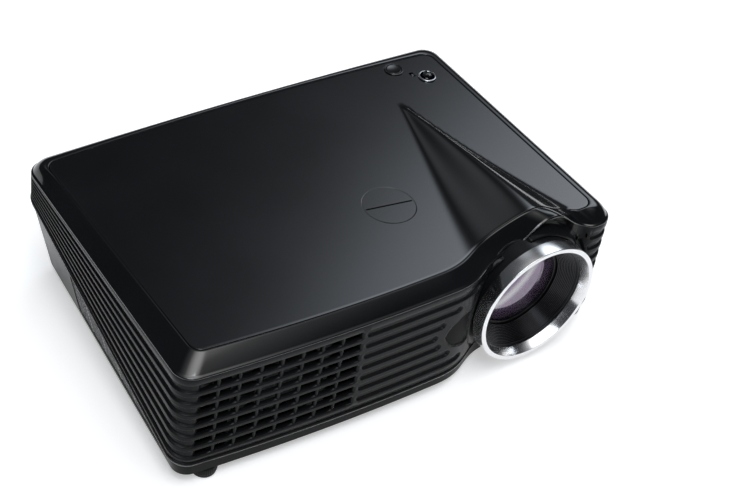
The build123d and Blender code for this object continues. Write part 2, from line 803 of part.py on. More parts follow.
# Half sections of everything round about the lens axis: X is the radius, Y runs back
lens_section = Plane(origin=(lens_x, 0, lens_z), x_dir=(1, 0, 0), z_dir=(0, 0, 1))
lens_axis = Axis((lens_x, 0, lens_z), (0, 1, 0))
lamp_section = Plane(origin=(0, path_y, lens_z), x_dir=(0, 1, 0), z_dir=(0, 0, -1))
lamp_axis = Axis((0, path_y, lens_z), (1, 0, 0))


def glass_section(plane, glass):
    """Half section of a round lens: radius, edge from front to back, and the bulge of either face."""
    radius, front, back, front_bulge, back_bulge = glass
    with BuildSketch(plane) as shape:
        with BuildLine():
            ThreePointArc((-radius, front), (0, front - front_bulge), (radius, front))
            Line((radius, front), (radius, back))
            ThreePointArc((radius, back), (0, back + back_bulge), (-radius, back))
            Line((-radius, back), (-radius, front))
        make_face()
        with Locations((-radius, (front + back) / 2)):
            Rectangle(2 * radius, 2 * radius, mode=Mode.SUBTRACT)
    return shape.sketch


# Lens housing: the fixed collar in the opening, its flange and the tube behind
with BuildPart() as lens_housing:
    extrude(flat_disc(collar_front, collar_radius), amount=collar_front - bay_back)
    extrude(flat_disc(bay_back, flange_radius, rim_z - seat_gap), amount=-flange_thickness)
    extrude(flat_disc(bay_back, housing_radius), amount=bay_back - housing_back)
    with BuildSketch(front_at(lens_x, collar_front, lens_z)):
        Circle(barrel_radius + running_clearance)
    extrude(amount=collar_front - housing_back, mode=Mode.SUBTRACT)

# Focus ring with its barrel and the black cone inside, which turn together
with BuildPart() as focus_ring:
    with BuildSketch(lens_section):
        with BuildLine():
            Polyline(
                (ring_mouth, ring_front),
                (ring_radius - ring_edge, ring_front),
                (ring_radius, ring_front + ring_edge),
                (ring_radius, ring_front + ring_length),
                (barrel_radius, ring_front + ring_length),
                (barrel_radius, ring_front + ring_chamfer),
                close=True,
            )
        make_face()
    revolve(axis=lens_axis)

with BuildPart() as focus_barrel:
    with BuildSketch(front_at(lens_x, barrel_front, lens_z)):
        Circle(barrel_radius)
        Circle(barrel_radius - barrel_wall, mode=Mode.SUBTRACT)
    extrude(amount=barrel_front - barrel_back)

with BuildPart() as lens_baffle:
    narrowing = (baffle_mouth - baffle_throat) / (baffle_back - baffle_front)
    shoulder = baffle_mouth - narrowing * (barrel_front - baffle_front) + baffle_wall
    with BuildSketch(lens_section):
        with BuildLine():
            Polyline(
                (baffle_mouth, baffle_front),
                (barrel_radius - baffle_gap, baffle_front),
                (barrel_radius - baffle_gap, barrel_front),
                (shoulder, barrel_front),
                (baffle_throat + baffle_wall, baffle_back),
                (baffle_throat, baffle_back),
                close=True,
            )
        make_face()
    revolve(axis=lens_axis)

# Lens cell: it slides in the barrel and carries three lenses, each on a shoulder of the bore
front_seat = front_glass[2] + bulge_at(front_glass[0], front_glass[4], cell_bore)
middle_seat = middle_glass[2] + bulge_at(middle_glass[0], middle_glass[4], cell_stop)
rear_seat = rear_glass[1] - bulge_at(rear_glass[0], rear_glass[3], cell_stop)
cell_steps = [
    (cell_front, front_seat, front_glass[0] + glass_gap),
    (front_seat, middle_glass[1] - middle_glass[3], cell_bore),
    (middle_glass[1] - middle_glass[3], middle_seat, middle_glass[0] + glass_gap),
    (middle_seat, rear_seat, cell_stop),
    (rear_seat, cell_back, rear_glass[0] + glass_gap),
]

with BuildPart() as lens_cell:
    with BuildSketch(front_at(lens_x, cell_front, lens_z)):
        Circle(barrel_radius - barrel_wall - running_clearance)
    extrude(amount=cell_front - cell_back)
    for start, end, radius in cell_steps:
        with BuildSketch(front_at(lens_x, start, lens_z)):
            Circle(radius)
        extrude(amount=start - end, mode=Mode.SUBTRACT)

with BuildPart() as front_lens:
    revolve(glass_section(lens_section, front_glass), axis=lens_axis)

with BuildPart() as middle_lens:
    revolve(glass_section(lens_section, middle_glass), axis=lens_axis)

with BuildPart() as rear_lens:
    revolve(glass_section(lens_section, rear_glass), axis=lens_axis)

with BuildPart() as lens_retainer:
    with BuildSketch(front_at(lens_x, cell_front, lens_z)):
        Circle(retainer_outer)
        Circle(retainer_inner, mode=Mode.SUBTRACT)
    extrude(amount=retainer_thickness)

# Optical housing: a box tunnel on four legs with seats for the lenses and the picture frame
condenser_seat = condenser[2] + bulge_at(condenser[0], condenser[4], condenser_stop)

with BuildPart() as optical_housing:
    with BuildSketch(right_at(tunnel_left, path_y, lens_z)):
        Rectangle(2 * tunnel_side, 2 * tunnel_half)
    extrude(amount=tunnel_right - tunnel_left)
    with BuildSketch(right_at(tunnel_left + tunnel_wall, path_y, lens_z)):
        Rectangle(2 * (tunnel_side - tunnel_wall), 2 * (tunnel_half - tunnel_wall))
    extrude(amount=tunnel_right - tunnel_left, mode=Mode.SUBTRACT)
    with BuildSketch(right_at(condenser_mouth, path_y, lens_z)):
        Circle(condenser_collar)
    extrude(amount=tunnel_left - condenser_mouth)
    with BuildSketch(right_at(condenser_mouth, path_y, lens_z)):
        Circle(condenser[0] + glass_gap)
    extrude(amount=condenser_seat - condenser_mouth, mode=Mode.SUBTRACT)
    with BuildSketch(right_at(condenser_seat, path_y, lens_z)):
        Circle(condenser_stop)
    extrude(amount=tunnel_left + tunnel_wall - condenser_seat, mode=Mode.SUBTRACT)
    # Grooves for the two plate lenses
    with Locations((lcd_x - fresnel_spacing, path_y, lens_z), (lcd_x + fresnel_spacing, path_y, lens_z)):
        Box(
            plate_thickness + 2 * baffle_gap,
            2 * (tunnel_side - tunnel_wall + groove_bite),
            2 * (tunnel_half - tunnel_wall + groove_bite),
            mode=Mode.SUBTRACT,
        )
    # Bearings of the picture frame, and the opening for its fork
    with BuildSketch(front_at(lcd_x, path_y, lens_z)):
        Circle(trunnion_radius + running_clearance)
    extrude(amount=tunnel_side, both=True, mode=Mode.SUBTRACT)
    with Locations((lcd_x, path_y + crank_offset, lens_z + tunnel_half)):
        Box(
            2 * (fork_gap + fork_plate + crank_offset),
            2 * (fork_half + tunnel_wall),
            3 * tunnel_wall,
            mode=Mode.SUBTRACT,
        )
    with Locations(((tunnel_left + tunnel_right) / 2, path_y, floor_z)):
        with GridLocations(tunnel_right - tunnel_left - tunnel_leg, 2 * tunnel_side - tunnel_leg, 2, 2):
            Box(tunnel_leg, tunnel_leg, lens_z - tunnel_half - floor_z, align=on_floor)

with BuildPart() as condenser_lens:
    revolve(glass_section(lamp_section, condenser), axis=lamp_axis)


def plate_lens(x):
    """Square-cornered plate lens, standing across the light path."""
    with BuildSketch(right_at(x - plate_thickness / 2, path_y, lens_z)) as shape:
        Rectangle(2 * (tunnel_side - tunnel_wall + plate_bite), 2 * (tunnel_half - tunnel_wall + plate_bite))
    return shape.sketch


with BuildPart() as fresnel_lens_rear:
    extrude(plate_lens(lcd_x - fresnel_spacing), amount=plate_thickness)

with BuildPart() as fresnel_lens_front:
    extrude(plate_lens(lcd_x + fresnel_spacing), amount=plate_thickness)

# Picture frame: it tilts on two trunnions, moved by a fork at its top
with BuildPart() as lcd_frame:
    with BuildSketch(right_at(lcd_x - frame_thickness / 2, path_y, lens_z)):
        Rectangle(2 * frame_half_y, 2 * frame_half_z)
    extrude(amount=frame_thickness)
    with BuildSketch(front_at(lcd_x, path_y, lens_z)):
        Circle(trunnion_radius)
    extrude(amount=trunnion_reach, both=True)
    with BuildSketch(right_at(lcd_x - frame_thickness / 2, path_y, lens_z)):
        Rectangle(2 * window_half_y, 2 * window_half_z)
    extrude(amount=frame_thickness, mode=Mode.SUBTRACT)
    with BuildSketch(right_at(lcd_x, path_y, lens_z)):
        Rectangle(2 * (lcd_half_y + seat_gap), 2 * (lcd_half_z + seat_gap))
    extrude(amount=plate_thickness, mode=Mode.SUBTRACT)
    fork_foot = lens_z + frame_half_z
    with BuildSketch(front_at(lcd_x, path_y + crank_offset, fork_foot)):
        Rectangle(2 * (fork_gap + fork_plate), fork_top - fork_foot, align=(Align.CENTER, Align.MIN))
        with Locations((0, fork_base)):
            Rectangle(2 * fork_gap, fork_top - fork_foot, align=(Align.CENTER, Align.MIN), mode=Mode.SUBTRACT)
    extrude(amount=fork_half, both=True)

with BuildPart() as lcd_panel:
    with BuildSketch(right_at(lcd_x, path_y, lens_z)):
        Rectangle(2 * lcd_half_y, 2 * lcd_half_z)
    extrude(amount=plate_thickness)

# Fold mirror at 45 degrees behind the lens, and the bracket that holds its back
mirror_face = Plane(origin=(lens_x, path_y, lens_z), x_dir=(-1, 1, 0), z_dir=(1, 1, 0))

with BuildPart() as fold_mirror:
    with BuildSketch(mirror_face):
        Rectangle(2 * mirror_half, 2 * mirror_half_z)
    extrude(amount=mirror_thickness)

with BuildPart() as mirror_bracket:
    with BuildSketch(mirror_face.offset(mirror_thickness)):
        with Locations((0, mirror_half_z + bracket_margin)):
            Rectangle(
                2 * (mirror_half + bracket_margin),
                lens_z + mirror_half_z + bracket_margin - floor_z,
                align=(Align.CENTER, Align.MAX),
            )
    extrude(amount=bracket_thickness)
    with BuildSketch(Plane(origin=(lens_x, path_y, floor_z), x_dir=(1, -1, 0), z_dir=(0, 0, 1))):
        with Locations((0, mirror_thickness)):
            Rectangle(2 * mirror_half, bracket_foot, align=(Align.CENTER, Align.MIN))
    extrude(amount=bracket_thickness)

# Heat sink with the lamp on its base
with BuildPart() as heat_sink:
    top = floor_z + (fin_count - 1) * fin_pitch + fin_thickness
    with Locations((sink_right, sink_front, floor_z)):
        Box(sink_base, sink_back - sink_front, top - floor_z, align=(Align.MAX, Align.MIN, Align.MIN))
    for fin in range(fin_count):
        with Locations((sink_left, sink_front, floor_z + fin * fin_pitch)):
            Box(sink_right - sink_left, sink_back - sink_front, fin_thickness, align=at_corner)

with BuildPart() as light_led:
    with BuildSketch(right_at(sink_right, path_y, lens_z)):
        Rectangle(lamp_plate, lamp_plate)
    extrude(amount=plate_thickness)
    chip = sink_right + plate_thickness
    dome = glass_section(lamp_section, (lamp_chip, chip, chip + lamp_edge, lamp_edge, lamp_dome))
    revolve(dome, axis=lamp_axis)

# Fans: a square frame with a hub on four struts, and a rotor with slanting blades on its pin


def fan_frame(plane, half, depth):
    """Frame of a fan whose front is in a plane; the struts are at its back."""
    bore = half - fan_wall
    back = plane.offset(-depth)
    with BuildPart() as frame:
        with BuildSketch(plane):
            Rectangle(2 * half, 2 * half)
            Circle(bore, mode=Mode.SUBTRACT)
        extrude(amount=-depth)
        with BuildSketch(back):
            Rectangle(2 * bore + fan_wall, strut_width)
            Rectangle(strut_width, 2 * bore + fan_wall)
            Circle(fan_hub_share * bore)
        extrude(amount=fan_wall)
        with BuildSketch(back):
            Circle(pin_radius)
        extrude(amount=depth - fan_wall)
    return frame


def fan_rotor(plane, half, depth):
    """Rotor of the same fan, clear of its bore and its hub."""
    bore = half - fan_wall
    radius = bore - blade_gap
    hub = fan_hub_share * bore
    length = depth - 3 * fan_wall
    start = plane.offset(-fan_wall)
    middle = plane.offset(-fan_wall - length / 2).location
    with BuildPart() as rotor:
        with BuildSketch(start):
            Circle(hub)
        extrude(amount=-length)
        for number in range(blade_count):
            turned = middle * Rot(0, 0, 360 / blade_count * number) * Rot(blade_turn, 0, 0)
            with Locations(turned * Pos(hub / 2, 0, 0)):
                Box(bore, blade_thickness, length, align=(Align.MIN, Align.CENTER, Align.CENTER))
        with BuildSketch(start):
            Circle(radius)
        extrude(amount=-length, mode=Mode.INTERSECT)
        with BuildSketch(plane):
            Circle(pin_radius + pin_clearance)
        extrude(amount=-depth, mode=Mode.SUBTRACT)
    return rotor


exhaust_plane = front_at(exhaust_x, exhaust_front, lens_z)
intake_plane = left_at(intake_left, intake_y, floor_z + intake_half)
exhaust_fan_frame = fan_frame(exhaust_plane, exhaust_half, exhaust_back - exhaust_front)
exhaust_fan_rotor = fan_rotor(exhaust_plane, exhaust_half, exhaust_back - exhaust_front)
intake_fan_frame = fan_frame(intake_plane, intake_half, intake_right - intake_left)
intake_fan_rotor = fan_rotor(intake_plane, intake_half, intake_right - intake_left)

# Keystone dial in the top panel, with a crank under it that moves the picture frame
with BuildPart() as keystone_dial:
    with BuildSketch(Plane.XY.offset(top_z - panel_thickness - dial_under_gap)):
        with Locations((lcd_x, path_y)):
            Circle(dial_flange)
    extrude(amount=-dial_flange_thickness)
    with BuildSketch(Plane.XY.offset(top_z)):
        with Locations((lcd_x, path_y)):
            Circle(dial_radius)
    extrude(amount=-panel_thickness - dial_under_gap)
    with BuildSketch(Plane.XY.offset(top_z)):
        with Locations((lcd_x, path_y)):
            Rectangle(slot_length, slot_width, rotation=slot_turn)
    extrude(amount=-slot_depth, mode=Mode.SUBTRACT)

with BuildPart() as keystone_crank:
    with BuildSketch(Plane.XY.offset(top_z - panel_thickness - dial_under_gap - dial_flange_thickness)):
        with Locations((lcd_x, path_y + crank_offset / 2)):
            SlotOverall(crank_offset + 2 * crank_half, 2 * crank_half, rotation=90)
    extrude(amount=-crank_arm)
    with BuildSketch(Plane.XY.offset(crank_bottom)):
        with Locations((lcd_x, path_y + crank_offset)):
            Circle(crank_radius)
    extrude(amount=top_z - panel_thickness - dial_under_gap - dial_flange_thickness - crank_bottom)

# Key board under the controls, with its two switches and the posts of the joystick
with BuildPart() as key_board:
    with BuildSketch(Plane.XY.offset(key_board_z)):
        with BuildLine():
            Polyline(
                [
                    (key_board_left, key_board_front),
                    (key_board_right, key_board_front),
                    (key_board_right, key_board_middle),
                    (key_board_step, key_board_middle),
                    (key_board_step, key_board_back),
                    (key_board_left, key_board_back),
                ],
                close=True,
            )
        make_face()
    extrude(amount=board_thickness)
    face = key_board_z + board_thickness
    with BuildSketch(Plane.XY.offset(face)):
        with Locations((button_x, button_y)):
            Rectangle(switch_size, switch_size)
    extrude(amount=switch_height)
    with BuildSketch(Plane.XY.offset(face)):
        with Locations((button_x, button_y), (stick_x, stick_y)):
            Circle(switch_plunger)
    extrude(amount=stem_bottom - 2 * stick_push - face)
    with BuildSketch(Plane.XY.offset(face)):
        with Locations((button_x, button_y)):
            Circle(switch_plunger)
    extrude(amount=button_bottom - button_travel - button_gap - face)
    for side in (-1, 1):
        with Locations((stick_x + side * (post_inner + post_outer) / 2, stick_y, face)):
            Box(
                post_outer - post_inner,
                2 * post_half,
                pivot_z + post_half - face,
                align=on_floor,
            )
    with BuildSketch(right_at(stick_x, stick_y, pivot_z)):
        Circle(pivot_radius + pivot_clearance)
    extrude(amount=post_outer + pivot_radius, both=True, mode=Mode.SUBTRACT)

# Power button: a dished cap in its raised ring, with a flange under the panel
with BuildPart() as power_button:
    with BuildSketch(Plane.XY.offset(button_bottom)):
        with Locations((button_x, button_y)):
            Circle(button_flange)
    extrude(amount=top_z - panel_thickness - seat_gap - button_bottom)
    with BuildSketch(Plane.XY.offset(button_bottom)):
        with Locations((button_x, button_y)):
            Circle(button_radius)
    extrude(amount=top_z + button_rim_height - button_bottom)
    dish_radius = button_radius**2 / (2 * button_dish)
    with Locations((button_x, button_y, top_z + button_rim_height + dish_radius - button_dish)):
        Sphere(dish_radius, mode=Mode.SUBTRACT)

with BuildPart() as indicator_light:
    with BuildSketch(Plane.XY.offset(key_board_z + board_thickness)):
        with Locations((lamp_x, lamp_y)):
            Circle(lamp_radius)
    extrude(amount=top_z - key_board_z - board_thickness)

# Joystick: a rim in the panel, a cradle and a rocker as its two hinges, and the knob
with BuildPart() as joystick_rim:
    with BuildSketch(Plane.XY.offset(top_z)):
        with Locations((stick_x, stick_y)):
            Circle(stick_rim)
    extrude(amount=stick_rim_height)
    with BuildSketch(Plane.XY.offset(top_z)):
        with Locations((stick_x, stick_y)):
            Circle(stick_hole - baffle_gap)
    extrude(amount=stick_sleeve_bottom - top_z)
    with BuildSketch(Plane.XY.offset(stick_sleeve_bottom)):
        with Locations((stick_x, stick_y)):
            Circle(stick_opening)
    extrude(amount=top_z + stick_rim_height - stick_sleeve_bottom, mode=Mode.SUBTRACT)

with BuildPart() as joystick_cradle:
    with BuildSketch(Plane.XY.offset(pivot_z - cradle_half)):
        with Locations((stick_x, stick_y)):
            Circle(cradle_outer)
    extrude(amount=2 * cradle_half)
    with BuildSketch(right_at(stick_x, stick_y, pivot_z)):
        Circle(pivot_radius)
    extrude(amount=cradle_reach, both=True)
    with BuildSketch(Plane.XY.offset(pivot_z - cradle_half)):
        with Locations((stick_x, stick_y)):
            Circle(cradle_inner)
    extrude(amount=2 * cradle_half, mode=Mode.SUBTRACT)
    with BuildSketch(front_at(stick_x, stick_y, pivot_z)):
        Circle(pivot_radius + pivot_clearance)
    extrude(amount=cradle_outer, both=True, mode=Mode.SUBTRACT)

with BuildPart() as joystick_rocker:
    with BuildSketch(Plane.XY.offset(pivot_z - rocker_half)):
        with Locations((stick_x, stick_y)):
            Circle(rocker_radius)
    extrude(amount=2 * rocker_half)
    with BuildSketch(front_at(stick_x, stick_y, pivot_z)):
        Circle(pivot_radius)
    extrude(amount=rocker_reach, both=True)
    with BuildSketch(Plane.XY.offset(pivot_z - rocker_half)):
        with Locations((stick_x, stick_y)):
            Circle(stem_radius + pivot_clearance)
    extrude(amount=2 * rocker_half, mode=Mode.SUBTRACT)

with BuildPart() as joystick_knob:
    with BuildSketch(Plane.XY.offset(stem_bottom)):
        with Locations((stick_x, stick_y)):
            Circle(stem_radius)
    extrude(amount=top_z - stem_bottom)
    with BuildSketch(Plane.XY.offset(top_z - stick_rim_height)):
        with Locations((stick_x, stick_y)):
            Circle(stick_arm)
    extrude(amount=2 * stick_rim_height)
    with BuildSketch(Plane.XY.offset(top_z)):
        with Locations((stick_x, stick_y)):
            Rectangle(2 * stick_cap, 2 * stick_arm_width)
            Rectangle(2 * stick_arm_width, 2 * stick_cap)
            Circle(stick_cap, mode=Mode.INTERSECT)
    extrude(amount=stick_top - top_z)

# Front feet: a rubber pad that slides down as the knob on its threaded stud is turned


def foot_knob(place):
    """Knob and stud of a front foot."""
    with BuildPart() as knob:
        with BuildSketch(Plane.XY.offset(pad_height)):
            with Locations(place):
                Circle(foot_radius)
        extrude(amount=knob_top - pad_height)
        with BuildSketch(Plane.XY.offset(knob_top)):
            with Locations(place):
                Circle(stud_radius)
        extrude(amount=stud_top - knob_top)
    return knob


def foot_pad(place):
    """Rubber pad of a front foot, rounded at the table."""
    with BuildPart() as pad:
        with BuildSketch():
            with Locations(place):
                Circle(foot_radius - pad_inset)
        extrude(amount=pad_height)
        fillet(pad.edges().group_by(Axis.Z)[0], foot_rounding)
    return pad


front_left_foot = foot_knob(front_feet[0])
front_right_foot = foot_knob(front_feet[1])
front_left_pad = foot_pad(front_feet[0])
front_right_pad = foot_pad(front_feet[1])

# Power board: transformer, two tall capacitors and a cooled transistor
with BuildPart() as power_board:
    with Locations((power_left, power_front, power_board_z)):
        Box(power_right - power_left, power_back - power_front, board_thickness, align=at_corner)
    on_board = power_board_z + board_thickness
    with Locations((power_left + 61.0, power_front + 35.0, on_board)):
        Box(coil_width, coil_length, coil_height, align=on_floor)
    with BuildSketch(Plane.XY.offset(on_board)):
        with Locations((power_left + 22.0, power_front + 30.0)):
            with GridLocations(0, can_pitch, 1, 2):
                Circle(can_radius)
    extrude(amount=can_height)
    with Locations((power_right - 14.0, power_front + 37.0, on_board)):
        Box(cooler_width, cooler_length, cooler_height, align=on_floor)

# Main board: the picture processor under its cooler, memory and connectors
with BuildPart() as main_board:
    with Locations((main_left, main_front, main_board_z)):
        Box(main_right - main_left, main_back - main_front, board_thickness, align=at_corner)
    on_board = main_board_z + board_thickness
    with Locations((main_left + 65.0, main_front + 28.0, on_board)):
        Box(chip_size, chip_size, chip_thickness, align=on_floor)
        with GridLocations(0, chip_fin_pitch, 1, chip_fin_count):
            Box(chip_size, chip_fin, chip_fin_height, align=on_floor)
    with Locations((main_left + 30.0, main_front + 28.0, on_board)):
        with GridLocations(0, memory_pitch, 1, 2):
            Box(memory_width, memory_length, memory_height, align=on_floor)
    with Locations((main_left + 105.0, main_front + 15.0, on_board)):
        Box(tuner_size, tuner_size, tuner_height, align=on_floor)

# Connectors on the main board, looking out through the rear plate


def jack(x, width, height, mouth):
    """Box connector with a hollow mouth and a tongue in the middle."""
    base = main_board_z + board_thickness
    with BuildPart() as socket:
        with Locations((x, jack_front, base)):
            Box(width, mouth - jack_front, height, align=(Align.CENTER, Align.MIN, Align.MIN))
        with BuildSketch(back_at(x, mouth, base + height / 2)):
            Rectangle(width - 2 * jack_wall, height - 2 * jack_wall)
        extrude(amount=-jack_depth, mode=Mode.SUBTRACT)
        with BuildSketch(back_at(x, mouth - jack_wall, base + height / 2)):
            Rectangle(width - 4 * tongue, tongue)
        extrude(amount=-jack_depth)
    return socket


hdmi_jack = jack(hdmi_x, hdmi_width, hdmi_height, hdmi_mouth)
usb_jack = jack(usb_x, usb_width, usb_height, usb_mouth)

with BuildPart() as vga_jack:
    base = main_board_z + board_thickness
    plate_y = rim_back - base_step - base_wall - plate_thickness
    with Locations((vga_x, jack_front, base)):
        Box(vga_width, plate_y - jack_front, vga_height, align=(Align.CENTER, Align.MIN, Align.MIN))
    with BuildSketch(back_at(vga_x, plate_y, base + vga_height / 2)):
        Trapezoid(vga_shell_width, vga_shell_height, 80)
    extrude(amount=vga_mouth - plate_y)
    with BuildSketch(back_at(vga_x, vga_mouth, base + vga_height / 2)):
        Trapezoid(vga_shell_width - 2 * jack_wall, vga_shell_height - 2 * jack_wall, 80)
    extrude(amount=-jack_wall, mode=Mode.SUBTRACT)

with BuildPart() as av_jacks:
    base = main_board_z + board_thickness
    plate_y = rim_back - base_step - base_wall - plate_thickness
    with Locations((av_x, jack_front, base)):
        Box(3 * av_pitch, plate_y - jack_front, av_height, align=(Align.CENTER, Align.MIN, Align.MIN))
    with BuildSketch(back_at(av_x, plate_y, base + av_height / 2)):
        with GridLocations(av_pitch, 0, 3, 1):
            Circle(av_radius)
    extrude(amount=av_mouth - plate_y)
    with BuildSketch(back_at(av_x, av_mouth, base + av_height / 2)):
        with GridLocations(av_pitch, 0, 3, 1):
            Circle(av_bore)
    extrude(amount=-jack_depth, mode=Mode.SUBTRACT)

# Mains inlet: a socket with three recessed pins, flanged against the inside of the rear wall
inner_back = rim_back - base_step - base_wall

with BuildPart() as ac_inlet:
    with Locations((inlet_x, inlet_body_front, inlet_z)):
        Box(inlet_width, inlet_mouth - inlet_body_front, inlet_height, align=to_back)
    with Locations((inlet_x, inner_back, inlet_z)):
        Box(
            inlet_width + 2 * flange_margin,
            inlet_flange,
            inlet_height + 2 * flange_margin,
            align=to_front,
        )
    with BuildSketch(back_at(inlet_x, inlet_mouth, inlet_z)) as mouth:
        Rectangle(inlet_width - 2 * inlet_wall, inlet_height - 2 * inlet_wall)
        chamfer(mouth.vertices().group_by(Axis.Z)[-1], inlet_chamfer)
    extrude(amount=-inlet_depth, mode=Mode.SUBTRACT)
    for side, drop in ((-1, 1), (0, -1), (1, 1)):
        pin_x = inlet_x + side * inlet_pin_pitch
        with Locations((pin_x, inlet_mouth - inlet_pin_recess, inlet_z - drop * inlet_pin_thickness)):
            Box(
                inlet_pin_thickness,
                inlet_depth - inlet_pin_recess,
                inlet_pin_width,
                align=to_front,
            )

# Mains switch beside the inlet, with its rocker pressed in at the top
with BuildPart() as power_switch_body:
    with Locations((rocker_x, inlet_body_front, inlet_z)):
        Box(rocker_width, inlet_mouth - inlet_body_front, rocker_height, align=to_back)
    with Locations((rocker_x, inner_back, inlet_z)):
        Box(
            rocker_width + 2 * flange_margin,
            inlet_flange,
            rocker_height + 2 * flange_margin,
            align=to_front,
        )
    with Locations((rocker_x, inlet_mouth, inlet_z)):
        Box(
            2 * (rocker_half_width + seat_gap),
            inlet_mouth - rocker_pivot_y + rocker_depth,
            2 * (rocker_half_height + 3 * seat_gap),
            align=to_front,
            mode=Mode.SUBTRACT,
        )
    with BuildSketch(right_at(rocker_x, rocker_pivot_y, inlet_z)):
        Circle(rocker_pin + pin_clearance)
    extrude(amount=rocker_pin_reach + pin_clearance, both=True, mode=Mode.SUBTRACT)

with BuildPart() as power_switch_rocker:
    with BuildSketch(right_at(rocker_x - rocker_half_width, rocker_pivot_y, inlet_z)):
        with BuildLine():
            Polyline(
                (rocker_end, -rocker_half_height),
                (rocker_peak, 0),
                (rocker_end, rocker_half_height),
                (-rocker_under, rocker_half_height),
                (-rocker_under, -rocker_half_height),
                close=True,
            )
        make_face()
    extrude(amount=2 * rocker_half_width)
    with BuildSketch(right_at(rocker_x, rocker_pivot_y, inlet_z)):
        Circle(rocker_pin)
    extrude(amount=rocker_pin_reach, both=True)
    add(
        power_switch_rocker.part.rotate(Axis((rocker_x, rocker_pivot_y, inlet_z), (1, 0, 0)), rocker_tilt),
        mode=Mode.REPLACE,
    )

# Speaker on its plate, facing the slots in the right wall
with BuildPart() as speaker:
    with BuildSketch(right_at(speaker_x, speaker_y, floor_z + speaker_half)):
        Rectangle(2 * speaker_half, 2 * speaker_half)
    extrude(amount=plate_thickness)
    with BuildSketch(right_at(speaker_x, speaker_y, floor_z + speaker_half)):
        Circle(speaker_radius)
    extrude(amount=-speaker_depth / 2, taper=30)
    with BuildSketch(right_at(speaker_x - speaker_depth, speaker_y, floor_z + speaker_half)):
        Circle(speaker_magnet)
    extrude(amount=speaker_depth)
    with BuildSketch(right_at(speaker_x + plate_thickness, speaker_y, floor_z + speaker_half)):
        Circle(speaker_radius - shell_wall)
    extrude(amount=-speaker_depth / 2, taper=30, mode=Mode.SUBTRACT)

pieces = {
    "top_panel": top_panel,
    "top_cover": top_cover,
    "upper_shell": upper_shell,
    "lower_case": lower_case,
    "side_mesh_panel": side_mesh_panel,
    "air_filter": air_filter,
    "rear_plate": rear_plate,
    "case_screws": case_screws,
    "rear_feet": rear_feet,
    "ceiling_inserts": ceiling_inserts,
    "lens_housing": lens_housing,
    "focus_ring": focus_ring,
    "focus_barrel": focus_barrel,
    "lens_baffle": lens_baffle,
    "lens_cell": lens_cell,
    "front_lens": front_lens,
    "middle_lens": middle_lens,
    "rear_lens": rear_lens,
    "lens_retainer": lens_retainer,
    "optical_housing": optical_housing,
    "condenser_lens": condenser_lens,
    "fresnel_lens_rear": fresnel_lens_rear,
    "fresnel_lens_front": fresnel_lens_front,
    "lcd_frame": lcd_frame,
    "lcd_panel": lcd_panel,
    "fold_mirror": fold_mirror,
    "mirror_bracket": mirror_bracket,
    "heat_sink": heat_sink,
    "light_led": light_led,
    "exhaust_fan_frame": exhaust_fan_frame,
    "exhaust_fan_rotor": exhaust_fan_rotor,
    "intake_fan_frame": intake_fan_frame,
    "intake_fan_rotor": intake_fan_rotor,
    "keystone_dial": keystone_dial,
    "keystone_crank": keystone_crank,
    "key_board": key_board,
    "power_button": power_button,
    "indicator_light": indicator_light,
    "joystick_rim": joystick_rim,
    "joystick_cradle": joystick_cradle,
    "joystick_rocker": joystick_rocker,
    "joystick_knob": joystick_knob,
    "front_left_foot": front_left_foot,
    "front_left_pad": front_left_pad,
    "front_right_foot": front_right_foot,
    "front_right_pad": front_right_pad,
    "power_board": power_board,
    "main_board": main_board,
    "hdmi_jack": hdmi_jack,
    "usb_jack": usb_jack,
    "vga_jack": vga_jack,
    "av_jacks": av_jacks,
    "ac_inlet": ac_inlet,
    "power_switch_body": power_switch_body,
    "power_switch_rocker": power_switch_rocker,
    "speaker": speaker,
}
for name, piece in pieces.items():
    piece.part.label = name
    export_step(piece.part, f"parts/{name}.step")
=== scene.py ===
import bmesh
import bpy
import numpy as np
from mathutils import Matrix


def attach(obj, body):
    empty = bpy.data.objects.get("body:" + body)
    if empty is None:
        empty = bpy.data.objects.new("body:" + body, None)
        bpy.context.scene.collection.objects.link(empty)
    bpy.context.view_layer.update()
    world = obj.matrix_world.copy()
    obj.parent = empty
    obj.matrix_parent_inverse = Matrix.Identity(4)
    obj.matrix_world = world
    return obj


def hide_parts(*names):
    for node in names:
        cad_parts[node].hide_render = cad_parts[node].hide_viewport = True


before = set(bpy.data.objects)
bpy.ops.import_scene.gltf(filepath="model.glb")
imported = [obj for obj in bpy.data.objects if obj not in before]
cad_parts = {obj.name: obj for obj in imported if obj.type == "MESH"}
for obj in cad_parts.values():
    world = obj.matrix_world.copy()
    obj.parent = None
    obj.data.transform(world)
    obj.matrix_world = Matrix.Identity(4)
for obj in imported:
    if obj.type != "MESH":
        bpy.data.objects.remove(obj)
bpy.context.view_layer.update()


# Camera, looking down on the front left corner of the projector from about 1.1 m away,
# with the frame slightly turned, as the picture was taken.
eye = (-0.52037, -0.64692, 0.77077)
to_right = (0.81518547, -0.56382183, 0.13258048)
to_top = (0.2920727, 0.5978268, 0.74652304)
to_back = (-0.50016616, -0.5698316, 0.65201669)
camera = bpy.data.objects.new("camera", bpy.data.cameras.new("camera"))
camera.data.sensor_width = 36.0
camera.data.lens = 80.06
looking = Matrix((to_right, to_top, to_back)).transposed().to_4x4()
camera.matrix_world = Matrix.Translation(eye) @ looking
bpy.context.scene.collection.objects.link(camera)
bpy.context.scene.camera = camera


# White studio floor that turns up into a low wall of the same paper behind the projector. The paper is
# lifted a little for the eye, for reflections and through glass, and keeps its shadow.
def new_material(name):
    """A material with an empty node tree, and a function that adds a node with its settings."""
    material = bpy.data.materials.new(name)
    material.use_nodes = True
    tree = material.node_tree
    tree.nodes.clear()

    def node(kind, **settings):
        made = tree.nodes.new(kind)
        for key, value in settings.items():
            if hasattr(made, key):
                setattr(made, key, value)
            else:
                made.inputs[key.replace("_", " ")].default_value = value
        return made

    return material, tree.links, node


